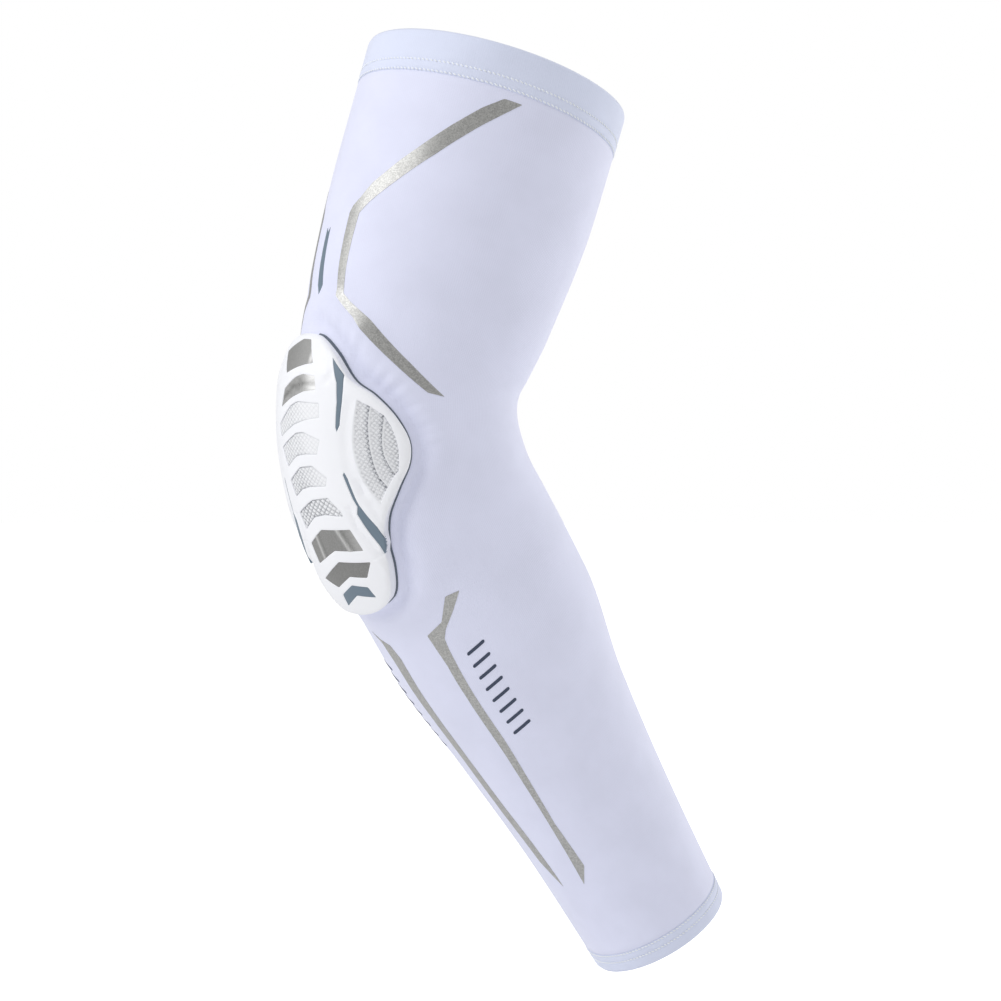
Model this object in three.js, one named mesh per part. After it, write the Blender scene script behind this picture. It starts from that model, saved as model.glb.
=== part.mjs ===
import * as THREE from 'three';
import { TessellateModifier } from 'three/addons/modifiers/TessellateModifier.js';
import { mergeVertices } from 'three/addons/utils/BufferGeometryUtils.js';

// A padded arm sleeve, held bent as on an arm: a hollow knit tube with a doubled hem at each end,
// a moulded elbow pad and printed marks. Millimetres and degrees, +Z up. The arm bends in the XZ
// plane, the elbow's tip points to -X, and the origin is the middle of the elbow.

// Driving sizes of the sleeve
const upper_length = 160;
const fore_length = 239;
const upper_lean = 17.5;
const fore_lean = 32.8;
const bend_radius = 90;
const top_depth = 112.4;
const elbow_depth = 92.4;
const fore_depth = 79.8;
const wrist_depth = 62.8;
const width_to_depth = 0.93;
const knit_wall = 1.4;
const hem_wall = 2.4;
const upper_hem_width = 18;
const wrist_hem_width = 12;
const hem_proud = 0.3;
const swell_height = 1.2;
const swell_near = 6;
const swell_far = 24;

// Driving sizes of the elbow pad
const pad_length = 120;
const pad_half_width = 47;
const pad_below_elbow = 5;
const pad_height = 10;
const pad_edge_drop = 2.2;
const shell_inset = 0.9;
const window_half_width = 14;
const wing_rib = 1.5;
const wing_reach = 42;

// Driving sizes of the printed marks
const print_thickness = 0.4;
const upper_stripe_reach = 70;
const upper_stripe_from_rim = 22;
const upper_stripe_over_pad = 11;
const upper_stripe_foot = 26;
const upper_stripe_width = 4.6;
const long_stripe_width = 5.4;
const long_stripe_reach = 30.5;
const long_stripe_under_pad = 7;
const long_stripe_from_hem = 38;
const mark_length = 28;
const mark_width = 4;
const mark_over_pad = 13;
const mark_offset = -1;
const tick_count = 8;
const tick_pitch = 5.8;
const tick_length = 9;
const tick_width = 1.4;
const tick_rise = 2;
const tick_under_stripe_top = 24;
const tick_offset = 28.5;
const tick_drift = -3;

// Clearances between neighbours
const end_gap = 0.3;
const seat_gap = 0.45;
const layer_gap = 0.35;
const side_gap = 0.3;
const print_gap = 0.55;

// Fineness of the faceted surfaces
const rows_down_sleeve = 32;
const rows_down_hem = 1;
const sides_round_sleeve = 32;
const pad_edge = 9.5;
const ribbon_step = 6;

const arm_length = upper_length + fore_length;

// Shape of the arm down its length: how far the skin lies from the middle line on the outer side
// (the elbow's) and on the inner side, as shares of the named depth that the row follows.
const depths = { top: top_depth, elbow: elbow_depth, fore: fore_depth, wrist: wrist_depth };
const arm_sections = [
  { at: 0.00, follows: 'top', outer: 0.492, inner: 0.507 },
  { at: 0.12, follows: 'top', outer: 0.491, inner: 0.496 },
  { at: 0.25, follows: 'top', outer: 0.472, inner: 0.440 },
  { at: 0.34, follows: 'elbow', outer: 0.519, inner: 0.470 },
  { at: 0.42, follows: 'elbow', outer: 0.495, inner: 0.504 },
  { at: 0.50, follows: 'elbow', outer: 0.488, inner: 0.527 },
  { at: 0.60, follows: 'elbow', outer: 0.491, inner: 0.517 },
  { at: 0.72, follows: 'fore', outer: 0.501, inner: 0.499 },
  { at: 0.86, follows: 'wrist', outer: 0.546, inner: 0.553 },
  { at: 1.00, follows: 'wrist', outer: 0.500, inner: 0.500 },
].map((row) => ({
  at: row.at,
  outer: row.outer * depths[row.follows],
  inner: row.inner * depths[row.follows],
}));

// How far the pattern's middle line is turned round the arm from the elbow's tip, in degrees
const pattern_turn = [
  { at: 0.000, turn: -2 },
  { at: 0.220, turn: -2 },
  { at: 0.325, turn: 7 },
  { at: 0.390, turn: 12 },
  { at: 0.460, turn: 18 },
  { at: 1.000, turn: 18 },
];

// How far the pad's middle line lies from the pattern's, as a share of the pad's half width
const pad_shift = -0.085;

// Outline of the pad, one side, down from its upper end: shares of the half width and the length
const pad_outline = [
  { across: 0.10, along: -0.515 },
  { across: 0.24, along: -0.503 },
  { across: 0.42, along: -0.449 },
  { across: 0.59, along: -0.357 },
  { across: 0.76, along: -0.310 },
  { across: 0.92, along: -0.230 },
  { across: 1.00, along: -0.125 },
  { across: 0.95, along: -0.035 },
  { across: 0.77, along: 0.065 },
  { across: 0.59, along: 0.160 },
  { across: 0.50, along: 0.250 },
  { across: 0.45, along: 0.350 },
  { across: 0.34, along: 0.438 },
  { across: 0.13, along: 0.490 },
];

// Height of the pad's crest down its length: shares of the pad's length and height
const pad_crest = [
  { at: -0.52, height: 0.42 },
  { at: -0.44, height: 0.70 },
  { at: -0.35, height: 0.92 },
  { at: -0.17, height: 1.00 },
  { at: 0.17, height: 0.97 },
  { at: 0.37, height: 0.92 },
  { at: 0.50, height: 0.74 },
];

// Heights of the pad's layers, as shares of the pad's own height at each place
const shell_floor = 0.60;
const panel_top = 0.84;
const inlay_top = 0.94;

// Windows down the middle of the pad, one row each. Across: shares of the windows' half width.
// Along: top and deep are shares of the pad's length, and each fall is a share of it, down from top.
const windows = [
  { name: 'top_foil', top: -0.475, deep: 0.084, left: -0.52, left_fall: 0.038, bend: 0.24, right: 0.60,
    right_fall: 0.004, low_right: 0.66, low_fall: 0.083, low_bend: 0.04, tip: -0.53, tip_fall: 0.109 },
  { name: 'upper_foil', top: -0.366, deep: 0.060, left: -0.60, left_fall: 0.041, bend: 0.12, right: 0.88,
    right_fall: 0.002, low_right: 0.88, low_fall: 0.040, low_bend: 0.10, tip: -0.90, tip_fall: 0.108 },
  { name: 'mesh_1', top: -0.284, deep: 0.076, left: -0.90, left_fall: 0.055, bend: 0.14, right: 0.93,
    right_fall: 0.040, low_right: 0.86, low_fall: 0.083, low_bend: 0.06, tip: -1.06, tip_fall: 0.125 },
  { name: 'mesh_2', top: -0.180, deep: 0.076, left: -1.02, left_fall: 0.046, bend: -0.08, right: 0.90,
    right_fall: 0.040, low_right: 0.70, low_fall: 0.080, low_bend: -0.16, tip: -0.88, tip_fall: 0.112 },
  { name: 'mesh_3', top: -0.068, deep: 0.064, left: -0.94, left_fall: 0.046, bend: -0.18, right: 0.79,
    right_fall: 0.046, low_right: 0.73, low_fall: 0.070, low_bend: 0.00, tip: -0.83, tip_fall: 0.101 },
  { name: 'mesh_4', top: 0.037, deep: 0.063, left: -0.84, left_fall: 0.042, bend: -0.06, right: 0.58,
    right_fall: 0.006, low_right: 0.84, low_fall: 0.070, low_bend: -0.06, tip: -0.84, tip_fall: 0.104 },
  { name: 'lower_foil', top: 0.150, deep: 0.079, left: -0.86, left_fall: 0.045, bend: -0.10, right: 0.80,
    right_fall: 0.020, low_right: 1.00, low_fall: 0.088, low_bend: 0.02, tip: -0.89, tip_fall: 0.118 },
  { name: 'low_foil', top: 0.267, deep: 0.054, left: -1.00, left_fall: 0.054, bend: 0.00, right: 1.04,
    right_fall: 0.025, low_right: 0.76, low_fall: 0.070, low_bend: 0.08, tip: -0.54, tip_fall: 0.092 },
  { name: 'slate_chevron', top: 0.361, deep: 0.042, left: -0.56, left_fall: 0.029, bend: 0.03, right: 0.54,
    right_fall: 0.016, low_right: 0.70, low_fall: 0.058, low_bend: 0.04, tip: -0.62, tip_fall: 0.075 },
];

// Slate wedges beside the windows, right side: shares of the half width and of the pad's length
const wedges = [
  { name: 'upper_wedge', corners: [
    { across: 0.43, along: -0.429 }, { across: 0.52, along: -0.367 }, { across: 0.50, along: -0.292 },
    { across: 0.40, along: -0.179 }, { across: 0.45, along: -0.275 }, { across: 0.46, along: -0.354 }] },
  { name: 'lower_wedge', corners: [
    { across: 0.38, along: -0.033 }, { across: 0.41, along: 0.042 }, { across: 0.44, along: 0.117 },
    { across: 0.48, along: 0.183 }, { across: 0.45, along: 0.240 }, { across: 0.39, along: 0.171 },
    { across: 0.37, along: 0.112 }, { across: 0.39, along: 0.092 }, { across: 0.37, along: 0.033 }] },
];

// Leaf-shaped opening in each wing, cut in three slivers by two ribs: a bowed curve on each side
// between its two tips. Across: shares of the wing's reach. Along: shares of the pad's length.
const leaf_inner = [
  { across: 0.70, along: -0.288 }, { across: 0.58, along: -0.160 },
  { across: 0.54, along: -0.020 }, { across: 0.655, along: 0.092 }];
const leaf_outer = [
  { across: 0.70, along: -0.288 }, { across: 1.12, along: -0.200 },
  { across: 1.06, along: -0.010 }, { across: 0.655, along: 0.092 }];
const sliver_shares = [
  { name: 'inner', from: 0.00, to: 0.36 },
  { name: 'middle', from: 0.36, to: 0.69 },
  { name: 'outer', from: 0.69, to: 1.00 },
];

// Upper stripe, right side: down from its tip to the corner over the pad, then round the pad.
// Across: shares of its reach. Along: shares of the height of the part that the row follows.
// Broad: shares of the stripe's named width, at each bend.
const upper_stripe_path = [
  { follows: 'upper', across: 1.000, along: 0.000, broad: 1.00 },
  { follows: 'upper', across: 0.757, along: 0.185, broad: 0.96 },
  { follows: 'upper', across: 0.586, along: 0.320, broad: 0.91 },
  { follows: 'upper', across: 0.423, along: 0.440, broad: 0.87 },
  { follows: 'upper', across: 0.286, along: 0.549, broad: 0.74 },
  { follows: 'upper', across: 0.236, along: 0.640, broad: 0.57 },
  { follows: 'upper', across: 0.243, along: 0.783, broad: 0.57 },
  { follows: 'upper', across: 0.180, along: 1.000, broad: 0.65 },
  { follows: 'foot', across: 0.405, along: 0.420, broad: 0.91 },
  { follows: 'foot', across: 0.593, along: 0.710, broad: 1.00 },
  { follows: 'foot', across: 0.729, along: 1.000, broad: 0.96 },
];

// Long forearm stripe, right side, in the same columns
const long_stripe_path = [
  { follows: 'stripe', across: 1.000, along: 0.000, broad: 0.80 },
  { follows: 'stripe', across: 0.850, along: 0.032, broad: 0.85 },
  { follows: 'stripe', across: 0.640, along: 0.066, broad: 0.78 },
  { follows: 'stripe', across: 0.490, along: 0.095, broad: 0.70 },
  { follows: 'stripe', across: 0.475, along: 0.190, broad: 0.70 },
  { follows: 'stripe', across: 0.450, along: 0.475, broad: 0.81 },
  { follows: 'stripe', across: 0.364, along: 0.760, broad: 0.91 },
  { follows: 'stripe', across: 0.308, along: 1.000, broad: 1.00 },
];

const right_side = 1;
const left_side = -1;

function radians(degrees) {
  return THREE.MathUtils.degToRad(degrees);
}

// A smooth value between the rows of a table that is sorted by its column at. It never swings
// past the rows' own values.
function smoothAt(rows, column, at) {
  const last = rows.length - 1;
  if (at <= rows[0].at) return rows[0][column];
  if (at >= rows[last].at) return rows[last][column];
  const i = rows.findIndex((row) => row.at > at) - 1;
  const step = (k) => rows[k + 1].at - rows[k].at;
  const rise = (k) => (rows[k + 1][column] - rows[k][column]) / step(k);
  const slope = (k) => {
    if (k === 0) return rise(0);
    if (k === last) return rise(last - 1);
    if (rise(k - 1) * rise(k) <= 0) return 0;
    const before = 2 * step(k) + step(k - 1);
    const after = step(k) + 2 * step(k - 1);
    return (before + after) / (before / rise(k - 1) + after / rise(k));
  };
  const span = rows[i + 1].at - rows[i].at;
  const t = (at - rows[i].at) / span;
  const a = (1 + 2 * t) * (1 - t) * (1 - t) * rows[i][column] + t * (1 - t) * (1 - t) * span * slope(i);
  const b = t * t * (3 - 2 * t) * rows[i + 1][column] - t * t * (1 - t) * span * slope(i + 1);
  return a + b;
}

// The middle line of the arm, which runs straight, round the elbow and straight again.
// down is measured along it from the top rim.
function middleLine(down) {
  const bend = radians(upper_lean + fore_lean);
  const half = bend_radius * bend / 2;
  const from_elbow = down - upper_length;
  const round = THREE.MathUtils.clamp(from_elbow, -half, half);
  const middle = radians(fore_lean - upper_lean) / 2;
  const lean = middle + round / bend_radius;
  const straight = from_elbow - round;
  const x = bend_radius * (Math.cos(middle) - Math.cos(lean)) + straight * Math.sin(lean);
  const z = -bend_radius * (Math.sin(lean) - Math.sin(middle)) - straight * Math.cos(lean);
  return { x, z, lean };
}

// A point on the sleeve's outer surface: round is the angle from the elbow's side towards -Y
function skinPoint(down, round) {
  const line = middleLine(down);
  const outer = smoothAt(arm_sections, 'outer', down / arm_length);
  const inner = smoothAt(arm_sections, 'inner', down / arm_length);
  const side = width_to_depth * (outer + inner) / 2;
  const reach = (Math.cos(round) > 0 ? outer : inner) * Math.cos(round);
  return new THREE.Vector3(
    line.x - Math.cos(line.lean) * reach,
    -side * Math.sin(round),
    line.z - Math.sin(line.lean) * reach,
  );
}

// A point a given height above the outer surface, square to it
function abovePoint(down, round, height) {
  const step_down = 0.05;
  const step_round = 0.001;
  const along = skinPoint(down + step_down, round).sub(skinPoint(down - step_down, round));
  const across = skinPoint(down, round + step_round).sub(skinPoint(down, round - step_round));
  const normal = along.cross(across).normalize();
  return skinPoint(down, round).addScaledVector(normal, height);
}

// Half of the sleeve's mean thickness at a place, which turns a distance round it into an angle
function meanRadius(down) {
  const outer = smoothAt(arm_sections, 'outer', down / arm_length);
  const inner = smoothAt(arm_sections, 'inner', down / arm_length);
  return (outer + inner) * (1 + width_to_depth) / 4;
}

function patternAngle(down) {
  return radians(smoothAt(pattern_turn, 'turn', down / arm_length));
}

// The pad is laid out flat, x across and y up, round a point just below the elbow's middle, and
// wrapped on the arm: the outer side of the bend is longer than the middle line by pad_stretch.
const pad_middle_height = pad_height / 2;
const pad_stretch = 1 + (elbow_depth / 2 + pad_middle_height) / bend_radius;

function padPlace(x, y) {
  const down = upper_length + pad_below_elbow - y / pad_stretch;
  const from_pattern = x + pad_shift * pad_half_width;
  const round = patternAngle(down) + from_pattern / (meanRadius(down) + pad_middle_height);
  return { down, round };
}

// Where the printed marks start and end, down the arm
const pad_top_down = padPlace(0, pad_length * -pad_outline[0].along).down;
const pad_foot_down = padPlace(0, pad_length * -pad_outline[pad_outline.length - 1].along).down;
const upper_stripe_corner = pad_top_down - upper_stripe_over_pad;
const long_stripe_top = pad_foot_down + long_stripe_under_pad;
const long_stripe_foot = arm_length - wrist_hem_width - long_stripe_from_hem;
const mark_foot = pad_top_down - mark_over_pad;
const mark_top = mark_foot - mark_length;
const tick_top = long_stripe_top + tick_under_stripe_top;
const print_spans = {
  upper: { top: upper_stripe_from_rim, height: upper_stripe_corner - upper_stripe_from_rim },
  foot: { top: upper_stripe_corner, height: upper_stripe_foot },
  stripe: { top: long_stripe_top, height: long_stripe_foot - long_stripe_top },
};

function padCrest(y) {
  return pad_height * smoothAt(pad_crest, 'height', -y / pad_length);
}

function padHeight(x, y) {
  const share = Math.min(Math.abs(x) / pad_half_width, 1);
  const crest = padCrest(y);
  return crest - pad_edge_drop * (crest / pad_height) * share * share;
}

// The marks are laid out flat on the sleeve: across from the pattern's middle line, down the arm
function printPlace(x, y) {
  const down = -y;
  return { down, round: patternAngle(down) + x / meanRadius(down) };
}

// The pad's whole outline, anticlockwise, smooth through the rows of its table
function padOutline() {
  const side = pad_outline.map((row) => new THREE.Vector2(
    row.across * pad_half_width, -row.along * pad_length));
  const mirrored = side.map((p) => new THREE.Vector2(-p.x, p.y)).reverse();
  const corners = [...mirrored, ...side].reverse();
  const steps_between = 2;
  const loop = new THREE.CatmullRomCurve3(corners.map((p) => new THREE.Vector3(p.x, p.y, 0)), true);
  return loop.getPoints(corners.length * steps_between).slice(1).map((p) => new THREE.Vector2(p.x, p.y));
}

// An outline moved inwards by a distance: each corner slides along the bisector of its two sides
function inset(points, distance) {
  const turn = THREE.ShapeUtils.isClockWise(points) ? -1 : 1;
  return points.map((point, i) => {
    const before = points[(i + points.length - 1) % points.length];
    const after = points[(i + 1) % points.length];
    const side_in = point.clone().sub(before).normalize();
    const side_out = after.clone().sub(point).normalize();
    const normal_in = new THREE.Vector2(-side_in.y, side_in.x).multiplyScalar(turn);
    const normal_out = new THREE.Vector2(-side_out.y, side_out.x).multiplyScalar(turn);
    const bisector = normal_in.clone().add(normal_out).normalize();
    const sharpest = 0.45;
    const slide = distance / Math.max(bisector.dot(normal_in), sharpest);
    return point.clone().addScaledVector(bisector, slide);
  });
}

function windowOutline(row) {
  const across = (share) => share * window_half_width;
  const along = (share) => -share * pad_length;
  return [
    new THREE.Vector2(across(row.left), along(row.top + row.left_fall)),
    new THREE.Vector2(across(row.tip), along(row.top + row.tip_fall)),
    new THREE.Vector2(across(row.low_bend), along(row.top + row.deep)),
    new THREE.Vector2(across(row.low_right), along(row.top + row.low_fall)),
    new THREE.Vector2(across(row.right), along(row.top + row.right_fall)),
    new THREE.Vector2(across(row.bend), along(row.top)),
  ];
}

function wedgeOutline(wedge, side) {
  return wedge.corners.map((c) => new THREE.Vector2(side * c.across * pad_half_width, -c.along * pad_length));
}

// One sliver of a wing's leaf: the space between two curves that lie between the leaf's sides
function sliverOutline(row, side) {
  const bow = (table) => new THREE.CubicBezierCurve(...table.map(
    (c) => new THREE.Vector2(side * c.across * wing_reach, -c.along * pad_length)));
  const inner = bow(leaf_inner);
  const outer = bow(leaf_outer);
  const tip_cut = 0.07;
  const steps = 6;
  const half_rib = wing_rib / 2;
  const middle_width = inner.getPoint(0.5).distanceTo(outer.getPoint(0.5));
  const from = row.from + (row.from > 0 ? half_rib / middle_width : 0);
  const to = row.to - (row.to < 1 ? half_rib / middle_width : 0);
  const line = (share) => Array.from({ length: steps + 1 }, (_, i) => {
    const t = tip_cut + (1 - 2 * tip_cut) * i / steps;
    return inner.getPoint(t).lerp(outer.getPoint(t), share);
  });
  return [...line(from), ...line(to).reverse()];
}

// A flat ribbon of varying width along a bent path, cut across at least every ribbon_step
function ribbonShape(path, side, reach, width) {
  const bends = path.map((row) => {
    const span = print_spans[row.follows];
    const down = span.top + row.along * span.height;
    return new THREE.Vector3(side * row.across * reach, -down, row.broad * width);
  });
  const centre = bends.slice(0, 1);
  bends.slice(1).forEach((bend, i) => {
    const steps = Math.ceil(bends[i].distanceTo(bend) / ribbon_step);
    for (let step = 1; step <= steps; step += 1) centre.push(bends[i].clone().lerp(bend, step / steps));
  });
  const cuts = centre.length - 1;
  const geometry = new THREE.BoxGeometry(1, 1, 1, 1, cuts, 1);
  geometry.translate(0, 0, 0.5);
  const spots = geometry.attributes.position;
  for (let i = 0; i < spots.count; i += 1) {
    const cut = Math.round((0.5 - spots.getY(i)) * cuts);
    const before = centre[Math.max(cut - 1, 0)];
    const after = centre[Math.min(cut + 1, cuts)];
    const upward = new THREE.Vector2(before.x - after.x, before.y - after.y).normalize();
    const offset = spots.getX(i) * centre[cut].z;
    spots.setX(i, centre[cut].x + upward.y * offset);
    spots.setY(i, centre[cut].y - upward.x * offset);
  }
  return geometry;
}

function slateMarkOutline() {
  const half = mark_width / 2;
  const shoulder = 0.14;
  const top_share = 0.7;
  return [
    new THREE.Vector2(mark_offset - half * top_share, -mark_top),
    new THREE.Vector2(mark_offset - half, -(mark_top + mark_length * (1 - shoulder))),
    new THREE.Vector2(mark_offset, -mark_foot),
    new THREE.Vector2(mark_offset + half, -(mark_top + mark_length * (1 - shoulder))),
    new THREE.Vector2(mark_offset + half * top_share, -mark_top),
    new THREE.Vector2(mark_offset, -(mark_top + mark_width / 2)),
  ];
}

function tickOutline(index, side) {
  const share = index / (tick_count - 1);
  const middle = new THREE.Vector2(tick_offset + tick_drift * share, -(tick_top + tick_pitch * index));
  const half = new THREE.Vector2(tick_length / 2, tick_rise / 2);
  const nose = tick_width / 2;
  const corners = [
    [-half.x, 0], [-half.x + nose, -nose], [half.x - nose, -nose],
    [half.x, 0], [half.x - nose, nose], [-half.x + nose, nose],
  ];
  return corners.map(([x, y]) => new THREE.Vector2(
    side * (middle.x + x), middle.y + y + half.y * x / half.x));
}

// Only the places of the corners are kept, and corners that coincide become one
function closedBody(geometry) {
  geometry.deleteAttribute('normal');
  geometry.deleteAttribute('uv');
  const merge_within = 0.001;
  const merged = mergeVertices(geometry, merge_within);
  merged.computeVertexNormals();
  return merged;
}

// A flat outline with holes, one unit thick, with no facet's edge longer than longest
function plateShape(outline, holes, longest) {
  const shape = new THREE.Shape(outline);
  holes.forEach((hole) => shape.holes.push(new THREE.Path(hole)));
  const flat = new THREE.ExtrudeGeometry(shape, { depth: 1, bevelEnabled: false });
  const most_splits = 16;
  return new TessellateModifier(longest, most_splits).modify(flat);
}

// A flat shape, one unit thick, wrapped on the arm. place turns its flat x and y into a place on
// the arm, and low and high give the heights of its two faces there.
function wrapped(geometry, place, low, high) {
  const spots = geometry.attributes.position;
  for (let i = 0; i < spots.count; i += 1) {
    const x = spots.getX(i);
    const y = spots.getY(i);
    const height = THREE.MathUtils.lerp(low(x, y), high(x, y), spots.getZ(i));
    const { down, round } = place(x, y);
    const point = abovePoint(down, round, height);
    spots.setXYZ(i, point.x, point.y, point.z);
  }
  return closedBody(geometry);
}

// Distance from a flat point to the pad's outline, negative inside it
const flat_pad_outline = padOutline();

function distanceToPad(x, y) {
  let nearest = Infinity;
  let inside = false;
  flat_pad_outline.forEach((a, i) => {
    const b = flat_pad_outline[(i + 1) % flat_pad_outline.length];
    const edge = b.clone().sub(a);
    const away = new THREE.Vector2(x, y).sub(a);
    const t = THREE.MathUtils.clamp(away.dot(edge) / edge.lengthSq(), 0, 1);
    nearest = Math.min(nearest, away.addScaledVector(edge, -t).length());
    const crosses = (a.y > y) !== (b.y > y);
    if (crosses && x < a.x + (y - a.y) * edge.x / edge.y) inside = !inside;
  });
  return inside ? -nearest : nearest;
}

// The knit stands up in a soft roll round the pad, a few millimetres outside its edge
function roll(down, round) {
  const y = (upper_length + pad_below_elbow - down) * pad_stretch;
  const turned = Math.atan2(Math.sin(round - patternAngle(down)), Math.cos(round - patternAngle(down)));
  const x = turned * (meanRadius(down) + pad_middle_height) - pad_shift * pad_half_width;
  const distance = distanceToPad(x, y);
  if (distance < swell_near || distance > swell_far) return 0;
  const share = (distance - swell_near) / (swell_far - swell_near);
  return swell_height * Math.sin(Math.PI * share) ** 2;
}

// The same roll as the sleeve's facets hold it: level between the facets' corners, so that what
// lies on the sleeve follows them
const knit_top = upper_hem_width + end_gap;
const knit_foot = arm_length - wrist_hem_width - end_gap;

function swell(down, round) {
  const row_height = (knit_foot - knit_top) / rows_down_sleeve;
  const side_angle = 2 * Math.PI / sides_round_sleeve;
  const row = (down - knit_top) / row_height;
  const side = (round + Math.PI) / side_angle;
  const corner = (i, j) => roll(knit_top + i * row_height, j * side_angle - Math.PI);
  const i = Math.floor(row);
  const j = Math.floor(side);
  const above = THREE.MathUtils.lerp(corner(i, j), corner(i, j + 1), side - j);
  const below = THREE.MathUtils.lerp(corner(i + 1, j), corner(i + 1, j + 1), side - j);
  return THREE.MathUtils.lerp(above, below, row - i);
}

// A tube round the arm from one place to another down it, its wall below the given height
function armTube(from, to, rows, height, wall, rise) {
  const level = 100;
  const profile = [];
  for (let i = 0; i <= rows; i += 1) {
    profile.push(new THREE.Vector2(level, -THREE.MathUtils.lerp(from, to, i / rows)));
  }
  for (let i = rows; i >= 0; i -= 1) {
    profile.push(new THREE.Vector2(level - wall, -THREE.MathUtils.lerp(from, to, i / rows)));
  }
  profile.push(profile[0].clone());
  profile.reverse();
  const geometry = new THREE.LatheGeometry(profile, sides_round_sleeve);
  const spots = geometry.attributes.position;
  for (let i = 0; i < spots.count; i += 1) {
    const spot = new THREE.Vector3().fromBufferAttribute(spots, i);
    const round = Math.atan2(spot.x, spot.z);
    const down = -spot.y;
    const above = Math.hypot(spot.x, spot.z) - level + height + rise(down, round);
    const point = abovePoint(down, round, above);
    spots.setXYZ(i, point.x, point.y, point.z);
  }
  return closedBody(geometry);
}

function finish(colour, roughness, metalness) {
  return new THREE.MeshStandardMaterial({ color: colour, roughness, metalness });
}

const knit_colour = 0xe3e6f5;
const hem_colour = 0xd5dae9;
const foam_colour = 0xb9bcc2;
const shell_colour = 0xf7f8fc;
const mesh_colour = 0xe6e7ea;
const foil_colour = 0x9b9d9f;
const slate_colour = 0x7f8c99;
const silver_colour = 0xb4b5b2;

const sleeve_group = new THREE.Group();
const pad_group = new THREE.Group();
const print_group = new THREE.Group();

function addPart(group, name, geometry, material) {
  const mesh = new THREE.Mesh(geometry, material);
  mesh.name = name;
  group.add(mesh);
}

function addSleeve() {
  const flat = () => 0;
  const lower_hem_top = arm_length - wrist_hem_width;
  addPart(sleeve_group, 'knit_sleeve', armTube(
    knit_top, knit_foot, rows_down_sleeve, 0, knit_wall, swell,
  ), finish(knit_colour, 0.85, 0));
  addPart(sleeve_group, 'upper_hem', armTube(
    0, upper_hem_width, rows_down_hem, hem_proud, hem_wall, flat), finish(hem_colour, 0.85, 0));
  addPart(sleeve_group, 'wrist_hem', armTube(
    lower_hem_top, arm_length, rows_down_hem, hem_proud, hem_wall, flat), finish(hem_colour, 0.85, 0));
}

// The foam slab lies on the knit, and the moulded shell lies on the foam. The panels and inlays
// fill the shell's windows and lie on the foam too, a little below the shell's face.
function addPad() {
  const floor = (x, y) => shell_floor * padHeight(x, y);
  const inlays = [];
  windows.forEach((row) => {
    const slate = row.name === 'slate_chevron';
    const mesh = row.name.startsWith('mesh');
    const material = slate ? finish(slate_colour, 0.55, 0)
      : mesh ? finish(mesh_colour, 0.8, 0) : finish(foil_colour, 0.45, 0.5);
    inlays.push({
      name: `${row.name}${slate ? '' : '_panel'}`, outline: windowOutline(row),
      top: slate ? inlay_top : panel_top, material,
    });
  });
  [right_side, left_side].forEach((side) => {
    const hand = side === right_side ? 'right' : 'left';
    wedges.forEach((wedge) => inlays.push({
      name: `${wedge.name}_${hand}`, outline: wedgeOutline(wedge, side),
      top: inlay_top, material: finish(slate_colour, 0.55, 0),
    }));
    sliver_shares.forEach((row) => inlays.push({
      name: `wing_mesh_${row.name}_${hand}`, outline: sliverOutline(row, side),
      top: panel_top, material: finish(mesh_colour, 0.8, 0),
    }));
  });
  addPart(pad_group, 'pad_foam', wrapped(
    plateShape(flat_pad_outline, [], pad_edge),
    padPlace, () => seat_gap, (x, y) => floor(x, y) - layer_gap,
  ), finish(foam_colour, 0.8, 0));
  const openings = inlays.map((inlay) => inlay.outline);
  addPart(pad_group, 'pad_shell', wrapped(
    plateShape(inset(flat_pad_outline, shell_inset), openings, pad_edge),
    padPlace, floor, padHeight,
  ), finish(shell_colour, 0.5, 0));
  inlays.forEach((inlay) => addPart(pad_group, inlay.name, wrapped(
    plateShape(inset(inlay.outline, side_gap), [], pad_edge),
    padPlace, floor, (x, y) => inlay.top * padHeight(x, y),
  ), inlay.material));
}

function addPrints() {
  const low = (x, y) => {
    const { down, round } = printPlace(x, y);
    return print_gap + swell(down, round);
  };
  const high = (x, y) => low(x, y) + print_thickness;
  const addPrint = (name, shape, material) => addPart(
    print_group, name, wrapped(shape, printPlace, low, high), material);
  const silver = () => finish(silver_colour, 0.45, 0.4);
  const slate = () => finish(slate_colour, 0.6, 0);
  addPrint('upper_arm_mark', plateShape(slateMarkOutline(), [], mark_length), slate());
  [right_side, left_side].forEach((side) => {
    const hand = side === right_side ? 'right' : 'left';
    addPrint(`upper_stripe_${hand}`, ribbonShape(
      upper_stripe_path, side, upper_stripe_reach, upper_stripe_width), silver());
    addPrint(`forearm_stripe_${hand}`, ribbonShape(
      long_stripe_path, side, long_stripe_reach, long_stripe_width), silver());
    for (let index = 0; index < tick_count; index += 1) {
      const outline = tickOutline(index, side);
      addPrint(`tick_${index + 1}_${hand}`, plateShape(outline, [], tick_length), slate());
    }
  });
}

addSleeve();
addPad();
addPrints();

const padded_arm_sleeve = new THREE.Group();
padded_arm_sleeve.add(sleeve_group, pad_group, print_group);

export default padded_arm_sleeve;
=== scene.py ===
"""The looks of a padded arm sleeve: stretched knit cloth with sewn hems, a moulded elbow pad with
windows of mesh and silver film, and printed marks. Metres, in the packed part's own frame."""

import math

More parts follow.
